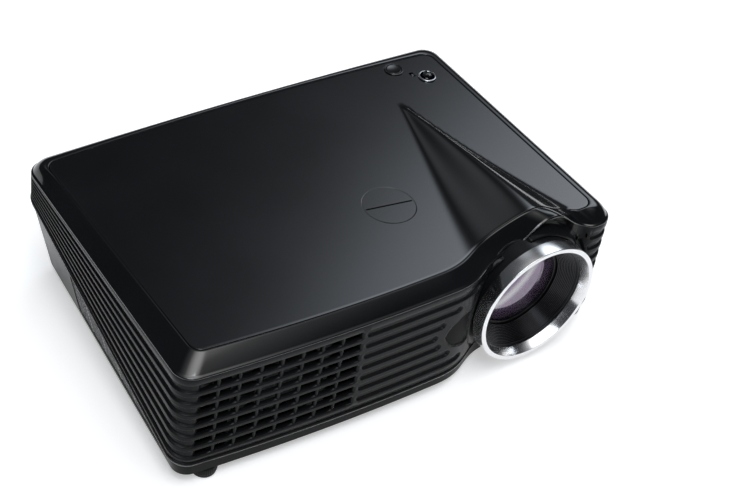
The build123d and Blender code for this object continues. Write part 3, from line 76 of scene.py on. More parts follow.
def mesh_object(name, points, faces, material):
    """An object at the origin from points in millimetres and rows of corner numbers, its seams welded."""
    mesh = bpy.data.meshes.new(name)
    corners = [list(face) for face in np.asarray(faces)]
    mesh.from_pydata((np.asarray(points) * 0.001).tolist(), [], corners)
    welded = bmesh.new()
    welded.from_mesh(mesh)
    bmesh.ops.remove_doubles(welded, verts=welded.verts, dist=2e-6)
    bmesh.ops.recalc_face_normals(welded, faces=welded.faces)
    welded.to_mesh(mesh)
    welded.free()
    mesh.shade_smooth()
    mesh.materials.append(material)
    made = bpy.data.objects.new(name, mesh)
    bpy.context.scene.collection.objects.link(made)
    return made


def grid_faces(rows, columns, first=0, closed=False):
    """Four corner numbers for each cell of a grid numbered row by row. Closed joins the last column to the
    first."""
    cells = columns if closed else columns - 1
    row, column = np.meshgrid(np.arange(rows - 1), np.arange(cells), indexing="ij")
    after = (column + 1) % columns
    here, above = row * columns, (row + 1) * columns
    corners = (here + column, here + after, above + after, above + column)
    return first + np.stack(corners, -1).reshape(-1, 4)


paper, link, node = new_material("backdrop_paper")
matt = node("ShaderNodeBsdfDiffuse", Color=(0.92, 0.92, 0.92, 1))
glow = node("ShaderNodeEmission", Color=(1, 1, 1, 1), Strength=0.45)
lifted = node("ShaderNodeAddShader")
path = node("ShaderNodeLightPath")
seen = node("ShaderNodeMath", operation="MAXIMUM")
seen_too = node("ShaderNodeMath", operation="MAXIMUM")
pick = node("ShaderNodeMixShader")
out = node("ShaderNodeOutputMaterial")
link.new(matt.outputs[0], lifted.inputs[0])
link.new(glow.outputs[0], lifted.inputs[1])
link.new(path.outputs["Is Camera Ray"], seen.inputs[0])
link.new(path.outputs["Is Glossy Ray"], seen.inputs[1])
link.new(seen.outputs[0], seen_too.inputs[0])
link.new(path.outputs["Is Transmission Ray"], seen_too.inputs[1])
link.new(seen_too.outputs[0], pick.inputs[0])
link.new(matt.outputs[0], pick.inputs[1])
link.new(lifted.outputs[0], pick.inputs[2])
link.new(pick.outputs[0], out.inputs["Surface"])
# The sheet is a line along X carried back over the floor, round a bend of 600 mm and up to 0.9 m.
bend_radius, wall_place, wall_top = 600, 7000, 900
across = np.linspace(-9000, 9000, 9)
bend = np.linspace(0, np.pi / 2, 13)
along = np.concatenate([
    np.linspace(-9000, 6300, 12), wall_place - bend_radius + bend_radius * np.sin(bend), [wall_place],
])
rise = np.concatenate([np.zeros(12), bend_radius - bend_radius * np.cos(bend), [wall_top]])
sheet = np.stack(np.broadcast_arrays(across[None, :], along[:, None], rise[:, None]), -1)
floor = mesh_object("floor", sheet.reshape(-1, 3), grid_faces(len(along), len(across)), paper)


# Soft studio light: a dim room with three pale patches without edges, which the gloss of the top shows as
# clouds: one overhead, a bright one behind to the right and a weak one behind. A small lamp stands by the
# camera.
def soft_lamp(name, place, aim, size, power, colour):
    """A square lamp of a size in metres at a place, turned to a point."""
    lamp = bpy.data.objects.new(name, bpy.data.lights.new(name, "AREA"))
    lamp.data.size = size
    lamp.data.energy = power
    lamp.data.color = colour
    back = np.subtract(place, aim)
    back = back / np.linalg.norm(back)
    side = np.cross((0, 0, 1), back)
    side = side / np.linalg.norm(side)
    turned = Matrix((side, np.cross(back, side), back)).transposed().to_4x4()
    lamp.matrix_world = Matrix.Translation(place) @ turned
    bpy.context.scene.collection.objects.link(lamp)


soft_lamp("lamp_by_camera", (-0.55, -0.80, 1.57), (0, 0, 0.1), 0.6, 8.0, (0.88, 0.94, 1.0))
world = bpy.data.worlds.new("room")
bpy.context.scene.world = world
world.use_nodes = True
room = world.node_tree
way = room.nodes.new("ShaderNodeTexCoord")


def set_ramp(ramp, steps):
    """Gives a colour ramp its steps: each a place from 0 to 1 and a colour."""
    elements = ramp.color_ramp.elements
    while len(elements) < len(steps):
        elements.new(0.5)
    for element, (place, colour) in zip(elements, steps):
        element.position = place
        element.color = (*colour, 1)


def pale_patch(towards, from_cosine, steps, tint):
    """Radiance round a direction of the room: steps of a share and a level, from the edge of the patch at a
    cosine to its middle."""
    cosine = room.nodes.new("ShaderNodeVectorMath")
    cosine.operation = "DOT_PRODUCT"
    cosine.inputs[1].default_value = np.array(towards) / np.linalg.norm(towards)
    share = room.nodes.new("ShaderNodeMapRange")
    share.inputs["From Min"].default_value = from_cosine
    peak = max(level for place, level in steps)
    ramp = room.nodes.new("ShaderNodeValToRGB")
    set_ramp(ramp, [(place, [level / peak * c for c in tint]) for place, level in steps])
    scaled = room.nodes.new("ShaderNodeVectorMath")
    scaled.operation = "SCALE"
    scaled.inputs["Scale"].default_value = peak
    room.links.new(way.outputs["Generated"], cosine.inputs[0])
    room.links.new(cosine.outputs["Value"], share.inputs["Value"])
    room.links.new(share.outputs["Result"], ramp.inputs["Fac"])
    room.links.new(ramp.outputs["Color"], scaled.inputs[0])
    return scaled.outputs["Vector"]


behind_right = [(0.0, 0.065), (0.24, 0.065), (0.40, 0.11), (0.53, 0.21), (0.60, 0.40), (0.66, 0.80),
                (0.75, 1.6), (0.86, 2.6), (1.0, 2.6)]
behind = [(0.0, 0.0), (0.35, 0.05), (0.6, 0.14), (0.8, 0.27), (1.0, 0.42)]
overhead = [(0.0, 0.0), (0.25, 0.10), (0.5, 0.32), (0.68, 0.60), (0.85, 2.3), (1.0, 4.2)]
patches = [
    pale_patch((0.635, 0.337, 0.695), 0.88, behind_right, (0.90, 0.97, 1.06)),
    pale_patch((0.10, 0.66, 0.745), 0.96, behind, (0.92, 0.98, 1.05)),
    pale_patch((0.0, -0.20, 0.98), 0.74, overhead, (1.0, 1.0, 1.0)),
]
light = patches[0]
for patch in patches[1:]:
    added = room.nodes.new("ShaderNodeVectorMath")
    room.links.new(light, added.inputs[0])
    room.links.new(patch, added.inputs[1])
    light = added.outputs["Vector"]
room.links.new(light, room.nodes["Background"].inputs["Color"])
bpy.context.scene.view_settings.view_transform = "Standard"


# Lower case: black styrene, moulded with its leaning walls, floor and posts in one piece,
# with a fine even grain and a slight sheen.
class Surface:
    """A material with one shader, and the steps that build its look up from the place on the object."""

    def __init__(self, name, **settings):
        self.material, self.link, self.node = new_material(name)
        self.shader = self.node("ShaderNodeBsdfPrincipled", **settings)
        self.place = self.node("ShaderNodeTexCoord").outputs["Object"]
        out = self.node("ShaderNodeOutputMaterial")
        self.link.new(self.shader.outputs["BSDF"], out.inputs["Surface"])

    def noise(self, scale, detail):
        """A cloudy value round one half."""
        texture = self.node("ShaderNodeTexNoise", Scale=scale, Detail=detail)
        self.link.new(self.place, texture.inputs["Vector"])
        return texture.outputs["Fac"]

    def colour(self, value, steps):
        """Picks the colour by a value, through the steps of a ramp."""
        ramp = self.node("ShaderNodeValToRGB")
        set_ramp(ramp, steps)
        self.link.new(value, ramp.inputs["Fac"])
        self.link.new(ramp.outputs["Color"], self.shader.inputs["Base Color"])
        return ramp.color_ramp

    def roughness(self, value, low, high, start=0.0, end=1.0):
        """Lets the roughness go from low to high while a value goes from its start to its end."""
        spread = self.node("ShaderNodeMapRange", From_Min=start, From_Max=end, To_Min=low, To_Max=high)
        self.link.new(value, spread.inputs["Value"])
        self.link.new(spread.outputs["Result"], self.shader.inputs["Roughness"])

    def bump(self, height, strength, distance, invert=False):
        """Stands the surface up by a value, as far as a distance in metres."""
        raised = self.node("ShaderNodeBump", Strength=strength, Distance=distance, invert=invert)
        self.link.new(height, raised.inputs["Height"])
        self.link.new(raised.outputs["Normal"], self.shader.inputs["Normal"])


def shade(colour, strength):
    """The colour at a share of its strength."""
    return [c * strength for c in colour]


def moulded(name, colour, rough, grain, grain_size, cloud=0.25, coat=0.0, shine=0.5):
    """Black or coloured plastic: a cloudy colour, a roughness that wanders, and fine grain of a size in
    metres."""
    look = Surface(name, Specular_IOR_Level=shine, Coat_Weight=coat, Coat_Roughness=0.09)
    wide = look.noise(14.0, 3.0)
    look.colour(wide, [(0.3, shade(colour, 1 - cloud)), (0.7, shade(colour, 1 + cloud))])
    look.roughness(wide, rough * 0.8, rough * 1.25, 0.3, 0.7)
    look.bump(look.noise(1.0 / grain_size, 4.0), grain, 0.0002)
    return look.material


def dress(material, *names):
    """Gives the material to the nodes of the frame."""
    for name in names:
        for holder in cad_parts[name].material_slots:
            holder.material = material


satin_black = moulded("satin_black_styrene", (0.009, 0.0092, 0.0097), 0.30, 0.22, 0.0009, shine=0.07)
dress(satin_black, "lower_case")


# Upper shell: the ribbed wall of black styrene. Seven rows of openings are moulded through its front on
# the left, and run on as grooves round both corners, along the sides and towards the lens.
rim_side, rim_closing, rim_front, rim_bow, rim_back = 164.0, 7.0, -99.0, 9.0, 113.0
rim_corner, rim_height = 13.0, 92.0
parting_at_front, parting_rise = 17.0, 0.255
lens_x, lens_z = 95.0, 54.5
# The front steps back to a bay round the lens: the X where the bend into it starts, where its floor starts
# and ends, where the bend out of it ends, and the Y of its floor.
bay = (25.0, 80.0, 134.0, 148.0, -93.5)
# Heights of the seven rows, the bars between the openings, and the half height, depth and rounded edge of
# a groove.
row_middles = 83.1 - 9.25 * np.arange(7)
bar_places, bar_half = -139.4 + 13.75 * np.arange(8), 1.0
openings_start, openings_end = -151.0, -44.15
groove_half, groove_depth, groove_edge = 2.5, 1.4, 0.6


def bow_line(x, left, start, front, bow):
    """Place of the bowed front in plan: a parabola through the left end, and full at the start of the bay."""
    share = (x - left) / (start - left)
    return front - bow * (2.2 * share - 1.2 * share**2)


def touching_arc(corner, before, after, radius, count):
    """Points of a circle that touches both arms of a corner, from the first arm to the second."""
    arms = [np.subtract(p, corner) / np.linalg.norm(np.subtract(p, corner)) for p in (before, after)]
    half = np.arccos(arms[0] @ arms[1]) / 2
    reach = radius / np.tan(half)
    middle = corner + (arms[0] + arms[1]) / np.linalg.norm(arms[0] + arms[1]) * radius / np.sin(half)
    ends = [corner + arm * reach - middle for arm in arms]
    first, last = [np.arctan2(e[1], e[0]) for e in ends]
    last = first + (last - first + np.pi) % (2 * np.pi) - np.pi
    angle = np.linspace(first, last, count)
    return middle + radius * np.stack([np.cos(angle), np.sin(angle)], 1)


def plan_pieces(left_front, left_back, right, front, bow, back, back_bow, bay, radius):
    """The pieces of a closed plan, seen from above and against the clock: left side, corner, bow, bend, bay,
    bend, short front, corner, right side, corner, back, corner, each as a list of points."""
    start, floor_start, floor_end, end, bay_y = bay
    slope = -bow * 2.2 / (start - left_front)
    tilt = 4 * back_bow / (right - left_back)
    corner_count, bow_count, back_count = 15, 100, 90

    def corner(at, before, after):
        return touching_arc(np.array(at), before, after, radius, corner_count)

    low_left = corner([left_front, front], (left_back, back), (left_front + 1, front + slope))
    low_right = corner([right, front], (right - 1, front), (right, back))
    high_right = corner([right, back], (right, front), (right - 1, back + tilt))
    high_left = corner([left_back, back], (left_back + 1, back + tilt), (left_front, front))
    x = np.linspace(low_left[-1, 0], start, bow_count)
    bowed = np.stack([x, bow_line(x, left_front, start, front, bow)], 1)
    bowed[:, 1] += (low_left[-1, 1] - bowed[0, 1]) * np.linspace(1, 0, bow_count) ** 2

    def bend(a, b, count):
        """A cubic that leaves and arrives along X: its height goes as three squares less two cubes."""
        t = np.linspace(0, 1, count)
        middle = (a[0] + b[0]) / 2
        x = a[0] * (1 - t) ** 3 + 3 * middle * t * (1 - t) + b[0] * t**3
        return np.stack([x, a[1] + (b[1] - a[1]) * (3 * t**2 - 2 * t**3)], 1)

    into = bend((start, front - bow), (floor_start, bay_y), 41)
    out_of = bend((floor_end, bay_y), (end, front), 21)
    x = np.linspace(high_right[-1, 0], high_left[0, 0], back_count)
    share = (x - left_back) / (right - left_back)
    behind = np.stack([x, back + back_bow * 4 * share * (1 - share)], 1)
    high_right[:, 1] += (behind[0, 1] - high_right[-1, 1]) * np.linspace(0, 1, corner_count)
    high_left[:, 1] += (behind[-1, 1] - high_left[0, 1]) * np.linspace(1, 0, corner_count)
    return [
        np.linspace(high_left[-1], low_left[0], 40), low_left, bowed, into,
        np.linspace(into[-1], out_of[0], 41), out_of, np.linspace(out_of[-1], low_right[0], 5), low_right,
        np.linspace(low_right[-1], high_right[0], 40), high_right, behind, high_left,
    ]


def outward(points, closed=True):
    """Unit normals of a line in plan that runs against the clock: the way along it, turned to the right."""
    if closed:
        step = np.roll(points, -1, 0) - np.roll(points, 1, 0)
    else:
        step = np.gradient(points, axis=0)
    step = step / np.linalg.norm(step, axis=1, keepdims=True)
    return np.stack([step[:, 1], -step[:, 0]], 1)


def ease(share):
    """Goes from 0 to 1 without a kink: three squares less two cubes, and flat outside."""
    share = np.clip(share, 0, 1)
    return 3 * share**2 - 2 * share**3


def rim_rise(x):
    """Height of the rim over the lens: flat, with an eased arch 16.4 high between 77 and 141."""
    return rim_height + 16.4 * np.minimum(ease((x - 77) / 30), ease((141 - x) / 29))


def parting(y):
    """Height of the sloping parting line."""
    return parting_at_front + parting_rise * (y - (rim_front - rim_bow))


rim = plan_pieces(-rim_side, rim_closing - rim_side, rim_side, rim_front, rim_bow, rim_back, 0.3, bay,
                  rim_corner)
front_line = np.concatenate(rim[2:7])
front_line = front_line[np.concatenate([[True], np.diff(front_line[:, 0]) > 1e-6])]


def front_y(x):
    """The front of the rim in plan, read off its line."""
    return np.interp(x, front_line[:, 0], front_line[:, 1])


def groove_lines(x, y):
    """Middle height, half height and depth of the seven grooves at places of the plan: level on the front,
    fanning out and narrowing along the sides, and none beside the lens on its right."""
    x, y = x[:, None], y[:, None]
    share = np.clip((y - rim_front) / (104 - rim_front), 0, 1)
    on_front = y < rim_front + 4
    middle = row_middles + share * (88.6 - 2.6 * np.arange(7) - row_middles)
    corner = ease((np.abs(x) - 151) / 10) * (x < 0)
    half = np.where(on_front, 3.1 - 0.6 * corner, groove_half - 1.85 * share)
    half = np.where(on_front & (x > openings_end), groove_half, half)
    half = np.where(on_front & (x > 100) & (x < 144), 0.0, half)
    half = np.broadcast_to(half, middle.shape)
    return middle, half, groove_depth * np.clip(half / groove_edge, 0, 1)


# The wall is a grid: columns go round from the right of the lens, past the back, to the left of it, and
# rows follow the edges of the grooves, so that each groove has its own rows at every place. Along the front
# the columns keep to the sides of the bars, and stand close together where the grooves begin and end.
side_start, side_end = 143.5, 46.5
bar_sides = np.repeat(bar_places, 2) + np.tile([-bar_half, bar_half], len(bar_places))
edges = np.concatenate([[openings_start], bar_sides[:-1]])
inner = np.concatenate([np.linspace(a, b, 4) for a, b in edges.reshape(-1, 2)])
x_front = np.unique(np.round(np.concatenate([
    inner, [-43.4, -42.2], np.arange(-41.0, -37.4, 0.4), np.linspace(-37, 11, 25),
    np.arange(11.5, side_end, 0.5), [side_end],
]), 3))
right_front = np.linspace(side_start, rim[7][0, 0], 8)
wall_plan = np.concatenate([
    np.stack([right_front, front_y(right_front)], 1), rim[7][1:], rim[8][1:], rim[9][1:],
    rim[10][3::3], rim[11][1:], rim[0][1:], rim[1][1:-1], np.stack([x_front, front_y(x_front)], 1),
])
wall_x, wall_y = wall_plan.T
wall_out = outward(wall_plan, closed=False)
middle, half, depth = groove_lines(wall_x, wall_y)
opening = (wall_x >= openings_start - 0.001) & (wall_x <= openings_end + 0.001) & (wall_y < -95)
divider = np.zeros(len(wall_plan), bool)
for bar in bar_places[:-1]:
    divider |= opening & (np.abs(wall_x - bar) < bar_half + 0.01)
# The edge of a groove, from the flat in: how far across it and how deep. The lip below has its own.
profile_reach = np.array([-0.50, -0.22, 0.0, 0.12, 0.30, groove_edge])
profile_depth = np.array([0.0, 0.10, 0.50, 0.85, 0.97, 1.0])
lip_reach = np.array([0.0, 0.2, 0.5, 0.8, 1.1, 1.3, 2.0, 2.2, 2.45])
lip_depth = np.array([0.45, 0.12, 0.0, 0.12, 0.55, 1.1, 1.1, 0.5, 0.0])
bottom = parting(wall_y)
lip_size = np.clip((middle[:, 6] - half[:, 6] - bottom - 0.6) / lip_reach[-1], 0.05, 1)
top = np.where(wall_y < -90, rim_rise(wall_x), rim_height)
heights = [bottom + reach * lip_size for reach in lip_reach]
cuts = [share * lip_size for share in lip_depth]
for row in range(6, -1, -1):
    low, high = middle[:, row] - half[:, row], middle[:, row] + half[:, row]
    if row < 6:
        below, above = heights[-1], low - 0.5
        for share in (0.2, 0.4, 0.6, 0.8):
            heights.append(below + (above - below) * share)
            cuts.append(np.zeros(len(bottom)))
    small = np.clip(half[:, row] / groove_edge, 0.02, 1)
    for reach, share in zip(profile_reach, profile_depth):
        heights.append(low + reach * small)
        cuts.append(depth[:, row] * share)
    for share in (-0.6, -0.3, 0.0, 0.3, 0.6):
        heights.append(middle[:, row] + share * half[:, row])
        cuts.append(depth[:, row])
    for reach, share in zip(profile_reach[::-1], profile_depth[::-1]):
        heights.append(high - reach * small)
        cuts.append(depth[:, row] * share)
# The last rows round the wall off and take it in under the frame.
heights += [top - 1.6, top - 1.15, top - 0.95, top - 0.85]
cuts += [np.full(len(bottom), d) for d in (0.0, 0.12, 0.45, 1.6)]
heights, cuts = np.array(heights), np.array(cuts)
first_rows = len(lip_reach) + 21 * np.arange(7)
for first in first_rows:
    deep = slice(first + 3, first + 14)
    cuts[deep, divider] = np.minimum(cuts[deep, divider], 0.8)


def on_wall(column, depth, height):
    """Points at columns of the plan, set in along the normal by a depth, at a height."""
    flat = wall_plan[column] - wall_out[column] * np.asarray(depth)[..., None]
    return np.concatenate([flat, np.broadcast_to(height, flat.shape[:-1])[..., None]], -1)


groove_starts, groove_ends = -40.5, np.array([58.0, 32.5, 21.0, 16.5, 20.5, 29.5, 42.0])
leaf_x, leaf_z, leaf_depth = 40.0, 51.0, 1.1
leaf_angles = np.radians([60, 101, 126, 153, 176, 194, 214, 251, 282, 420])
leaf_radii = np.array([14.0, 14.8, 14.3, 15.9, 17.0, 15.4, 14.1, 12.9, 14.6, 14.0])
line_radius = 49.8


def wall_relief(x, y, z):
    """Depth below the plain front at places right of the openings: the grooves with their round ends, the
    leaf-shaped recess beside the lens inside an outline by angle, and a fine line round the lens."""
    x, z = x[..., None], z[..., None]
    past = np.maximum(x - (groove_ends - groove_half), (groove_starts + groove_half) - x)
    inside = groove_half - np.hypot(np.maximum(past, 0), z - row_middles)
    grooves = groove_depth * np.interp(inside, profile_reach, profile_depth)
    grooves = grooves * ((x < 100) & (y[..., None] < -92))
    angle = np.arctan2(z - leaf_z, x - leaf_x)[..., 0] % (2 * np.pi)
    angle = np.where(angle < leaf_angles[0], angle + 2 * np.pi, angle)
    inside = np.interp(angle, leaf_angles, leaf_radii) - np.hypot(x - leaf_x, z - leaf_z)[..., 0]
    leaf = leaf_depth * ease(inside / 0.9)
    from_lens = np.hypot(x - lens_x, z - lens_z)[..., 0]
    line = 1.3 * np.exp(-(((from_lens - line_radius) / 0.6) ** 2))
    leaf = leaf * ease((from_lens - line_radius - 0.4) / 0.8)
    lip = np.interp(z[..., 0] - parting(y), lip_reach, lip_depth)
    return np.maximum(np.maximum(grooves.max(-1), np.maximum(leaf, line)), lip)


near_lens = (wall_x > openings_end) & (wall_x < 100) & (wall_y < -90)
spread_x, spread_y = [np.broadcast_to(line, heights.shape)[:, near_lens] for line in (wall_x, wall_y)]
top_rows = 4
cuts[:-top_rows, near_lens] = wall_relief(spread_x, spread_y, heights[:, near_lens])[:-top_rows]
columns = len(wall_plan)
every = np.broadcast_to(np.arange(columns), heights.shape)
wall_points = on_wall(every, cuts, heights).reshape(-1, 3)
wall_faces = grid_faces(len(heights), columns)
# Cells inside the openings are left out, and each opening gets four inner walls.
opening_depth = 3.4
cell_row, cell_column = wall_faces[:, 0] // columns, wall_faces[:, 0] % columns
hole_row = np.zeros(len(heights), bool)
for first in first_rows:
    hole_row[first + 3:first + 13] = True
hole_column = np.zeros(columns, bool)
loops = []
for left, right in edges.reshape(-1, 2):
    here = np.flatnonzero(opening & (wall_x > left - 0.002) & (wall_x < right + 0.002))
    hole_column[here[:-1]] = True
    for first in first_rows:
        low, high = first + 3, first + 13
        span = np.arange(low, high + 1)
        loops.append(np.concatenate([
            low * columns + here[:-1], span[:-1] * columns + here[-1],
            high * columns + here[:0:-1], span[:0:-1] * columns + here[0],
        ]))
wall_faces = wall_faces[~(hole_row[cell_row] & hole_column[cell_column])]
loops = np.array(loops)
inside = on_wall(loops % columns, opening_depth, heights[loops // columns, loops % columns])
inside[..., 2] += np.where(inside[..., 2] < inside[..., 2].mean(1, keepdims=True), 0.0, -0.2)
inner_index = len(wall_points) + np.arange(loops.size).reshape(loops.shape)
strip = np.stack([loops, np.roll(loops, -1, 1), np.roll(inner_index, -1, 1), inner_index], -1)
wall_points = np.concatenate([wall_points, inside.reshape(-1, 3)])
wall_faces = np.concatenate([wall_faces, strip.reshape(-1, 4)])


# Round the lens the wall is a fan of lines from the lens opening out to the edge of the grid, drawn in plan
# by the same front line. It carries a raised bead round the opening.
left_z, right_z = heights[:, -1], heights[:, 0]
x_top = np.linspace(side_end, side_start, 90)[1:-1]
top_edge = np.stack([x_top, rim_rise(x_top) - 0.85], 1)
hole_radius = 43.5


def meet(x_from):
    """Points of the parting line from a place to the edge of the lens opening, on the front."""
    x = np.linspace(x_from, lens_x, 400)
    z = parting(front_y(x))
    return np.stack([x, z], 1)[np.hypot(x - lens_x, z - lens_z) > hole_radius]


border = np.concatenate([
    meet(side_end)[::-1][::12], np.stack([np.full(len(left_z), side_end), left_z], 1), top_edge,
    np.stack([np.full(len(right_z), side_start), right_z], 1)[::-1], meet(side_start)[::12],
])
from_axis = border - [lens_x, lens_z]
far = np.hypot(*from_axis.T)
near = np.minimum(hole_radius, far)
share = ease(np.linspace(0, 1, 26)) * 0.35 + np.linspace(0, 1, 26) * 0.65
radius = near + (far - near) * share[:, None]
fan = np.array([lens_x, lens_z]) + from_axis / far[:, None] * radius[..., None]
fan_x, fan_z = fan[..., 0], fan[..., 1]
surface = front_y(fan_x) + wall_relief(fan_x, front_y(fan_x), fan_z)
border_y = surface[-1]
# The bead stands furthest out from 44.1 to 45.4 off the axis, rolls over into the opening and eases back to
# the wall. Under the arch the wall lies further back.
bead_front, bead_drop, under_arch = -97.2, 4.2, 5.0
bead = bead_front + bead_drop * ease((radius - 45.4) / 3.2)
bead = np.where(radius < 44.1, bead + 1.6 * (1 - (radius - hole_radius) / 0.6) ** 2, bead)
fan_y = np.where(radius < 50, np.minimum(surface, bead), surface)
hollow = ease((fan_z - 86) / 10) * ease((radius - 44) / 2) * (np.abs(fan_x - lens_x) < 34)
fan_y = fan_y + under_arch * hollow
fan_points = np.stack([fan_x, fan_y, fan_z], -1)
fan_points[-1] = np.stack([border[:, 0], border_y, border[:, 1]], -1)
start = len(wall_points)
wall_points = np.concatenate([wall_points, fan_points.reshape(-1, 3)])
wall_faces = np.concatenate([wall_faces, grid_faces(len(share), len(border), start)])
ribbed_black = moulded("ribbed_black_styrene", (0.008, 0.0083, 0.0090), 0.24, 0.18, 0.0009, shine=0.11)
shell = mesh_object("ribbed_shell", wall_points, wall_faces, ribbed_black)
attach(shell, "casing")
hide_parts("upper_shell")


# Painted shade in the leaf-shaped recess beside the lens: a matt sheet a tone darker than the ribs, laid
# just in front of the floor of the recess. Its outline stops short of the line round the lens.
turn = np.linspace(0, 2 * np.pi, 96, endpoint=False)
outline = np.interp(np.where(turn < leaf_angles[0], turn + 2 * np.pi, turn), leaf_angles, leaf_radii)
outline = outline - 0.75
spoke = np.column_stack([np.cos(turn), np.sin(turn)])
to_lens = np.array([lens_x - leaf_x, lens_z - leaf_z])
clear_of_lens, along_spoke = 51.3, spoke @ to_lens
reach = along_spoke**2 - to_lens @ to_lens + clear_of_lens**2
limit = np.where((along_spoke > 0) & (reach > 0), along_spoke - np.sqrt(np.maximum(reach, 0)), outline)
outline = np.minimum(outline, limit)
shade_sheet = np.array([leaf_x, leaf_z]) + spoke * (outline * np.linspace(0, 1, 14)[:, None])[..., None]
shade_sheet_points = np.stack([shade_sheet[..., 0], front_y(shade_sheet[..., 0]) + leaf_depth - 0.06, shade_sheet[..., 1]], -1)
shade_sheet_points = np.concatenate([shade_sheet_points, shade_sheet_points[-1:] + [0, 0.25, 0]])
# Painted shade: a black darker and matter than the ribs, for the recess.
painted_shade_black = moulded("painted_recess_shade", (0.0035, 0.0035, 0.0038), 0.40, 0.2, 0.0009, shine=0.045)
leaf_shade_sheet = mesh_object("leaf_shade_sheet", shade_sheet_points.reshape(-1, 3),
                        grid_faces(len(shade_sheet_points), len(turn), closed=True), painted_shade_black)
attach(leaf_shade_sheet, "casing")


# Lip of the lower case: a narrow polished band along the parting line, a little proud of the walls, which
# stops on both sides of the lens.
def lip_along(line):
    """The band's profile carried along a closed line in plan, at the height of the parting line: set outwards
    along the normal and up from the line."""
    reach = np.array([-0.6, 0.20, 0.36, 0.36, 0.14, -0.6])
    rise = np.array([0.12, 0.12, 0.0, -0.2, -1.25, -1.3])
    flat = line + outward(line) * reach[:, None, None]
    height = parting(line[:, 1]) + rise[:, None]
    return np.concatenate([flat, height[..., None]], -1)


rim_line = np.concatenate([piece[:-1] for piece in rim])
lip_points = lip_along(rim_line)
lip_faces = grid_faces(len(lip_points), len(rim_line), closed=True)
in_opening = (np.abs(rim_line[:, 0] - lens_x) < 33.5) & (rim_line[:, 1] < -80)
lip_faces = lip_faces[~in_opening[lip_faces % len(rim_line)].any(1)]
polished_black = moulded("polished_black_styrene", (0.009, 0.0092, 0.0095), 0.16, 0.06, 0.0009, shine=0.5)
lip_band = mesh_object("parting_lip", lip_points.reshape(-1, 3), lip_faces, polished_black)
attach(lip_band, "casing")


# Top cover: the bevelled frame of high-gloss black ABS between the rim and the inlaid panel,
# arched over the lens. It is held down by four screws from below.
cover_top = 100.0
bulge_tip, bulge_front, bulge_x, bulge_height = 59.0, -83.5, 97.5, 12.5


def bulge(x, y):
    """Height above the flat top: an eased rise from the left foot to the ridge, and a drop from the ridge to
    the right foot that is rounded at the ridge and hollow at the foot. Feet and ridge spread from the tip to
    the front, the right foot on a curve, and the height grows from nothing at the tip."""
    t = np.clip((bulge_tip - y) / (bulge_tip - bulge_front), 0, 1.05)
    left, ridge, right = bulge_x - 54 * t, bulge_x + 3.5 * t, bulge_x + 22 * t + 14 * t**2
    height = bulge_height * (1 - (1 - np.clip(t, 0, 1)) ** 1.6)
    up = ease(np.clip((x - left) / np.maximum(ridge - left, 1e-6), 0, 1) ** 1.15)
    v = np.clip((x - ridge) / np.maximum(right - ridge, 1e-6), 0, 1)
    down = (1 - v) - 0.16 * np.sin(np.pi * v) * (2 * v - 1)
    return height * np.where(x < ridge, up, down)


seam_left, seam_right, seam_front, seam_bow, seam_back, seam_back_bow = -149.0, 151.4, -87.2, 9.4, 100.0, 5.2
seam_bay, seam_corner = (18.0, 76.0, 130.0, 140.0, -83.5), 8.0
seam = plan_pieces(seam_left, seam_left, seam_right, seam_front, seam_bow, seam_back, seam_back_bow, seam_bay,
                   seam_corner)
inner_line, outer_line = [np.concatenate([p[:-1] for p in pieces]) for pieces in (seam, rim)]
inner_out, outer_out = outward(inner_line), outward(outer_line)
inner_top = cover_top + bulge(inner_line[:, 0], inner_line[:, 1]) * (inner_line[:, 1] < 50)
outer_top = np.where(outer_line[:, 1] < -90, rim_rise(outer_line[:, 0]), rim_height)


def frame_rows():
    """Rows of the frame from the seam to the rim: down the wall of the seam, round its edge, across on a
    slightly crowned slope, round the edge of the rim and in under it. At the back and on the right the slope
    is fuller, so that it falls off late."""
    def row(line, out, distance, height):
        return np.column_stack([line + out * distance, height])

    turn = np.linspace(0, np.pi / 2, 5)
    gap, edge_radius, rim_radius = 0.17, 0.5, 1.1
    rows = [row(inner_line, inner_out, gap, inner_top - d) for d in (2.0, 0.9)]
    rows += [row(inner_line, inner_out, gap + edge_radius * (1 - np.cos(a)),
                 inner_top - edge_radius + edge_radius * np.sin(a)) for a in turn]
    start = row(inner_line, inner_out, gap + edge_radius, inner_top)
    end = row(outer_line, outer_out, -rim_radius, outer_top + 0.25)
    crown = 1 + 1.5 * np.maximum(ease((outer_line[:, 1] - 85) / 24), ease((outer_line[:, 0] - 150) / 12))
    for t in np.linspace(0, 1, 15)[1:-1]:
        across = start + (end - start) * t
        across[:, 2] = start[:, 2] + (end[:, 2] - start[:, 2]) * t**crown + 1.1 * t * (1 - t)
        rows.append(across)
    rows += [row(outer_line, outer_out, -rim_radius * (1 - np.sin(a)), outer_top - 0.8 + 1.05 * np.cos(a))
             for a in turn]
    tuck = 1.8 + 5.5 * ease((outer_top - rim_height) / 6)
    rows.append(row(outer_line, outer_out, -tuck[:, None], outer_top - 0.8))
    return np.array(rows)


gloss_black = moulded("gloss_black_abs", (0.0030, 0.0034, 0.0042), 0.10, 0.03, 0.0035, cloud=0.35, coat=0.35)
frame_grid = frame_rows()
cover = mesh_object("bevelled_frame", frame_grid.reshape(-1, 3),
                    grid_faces(len(frame_grid), frame_grid.shape[1], closed=True), gloss_black)
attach(cover, "casing")
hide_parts("top_cover")


# Inlaid top panel: one moulding of high-gloss black ABS that fills the frame with a fine gap all round,
# with holes for the keystone dial, the power button, the lamp and the joystick.
def rising(line):
    """The points of a line whose X goes up."""
    return line[np.concatenate([[True], np.diff(line[:, 0]) > 1e-4])]


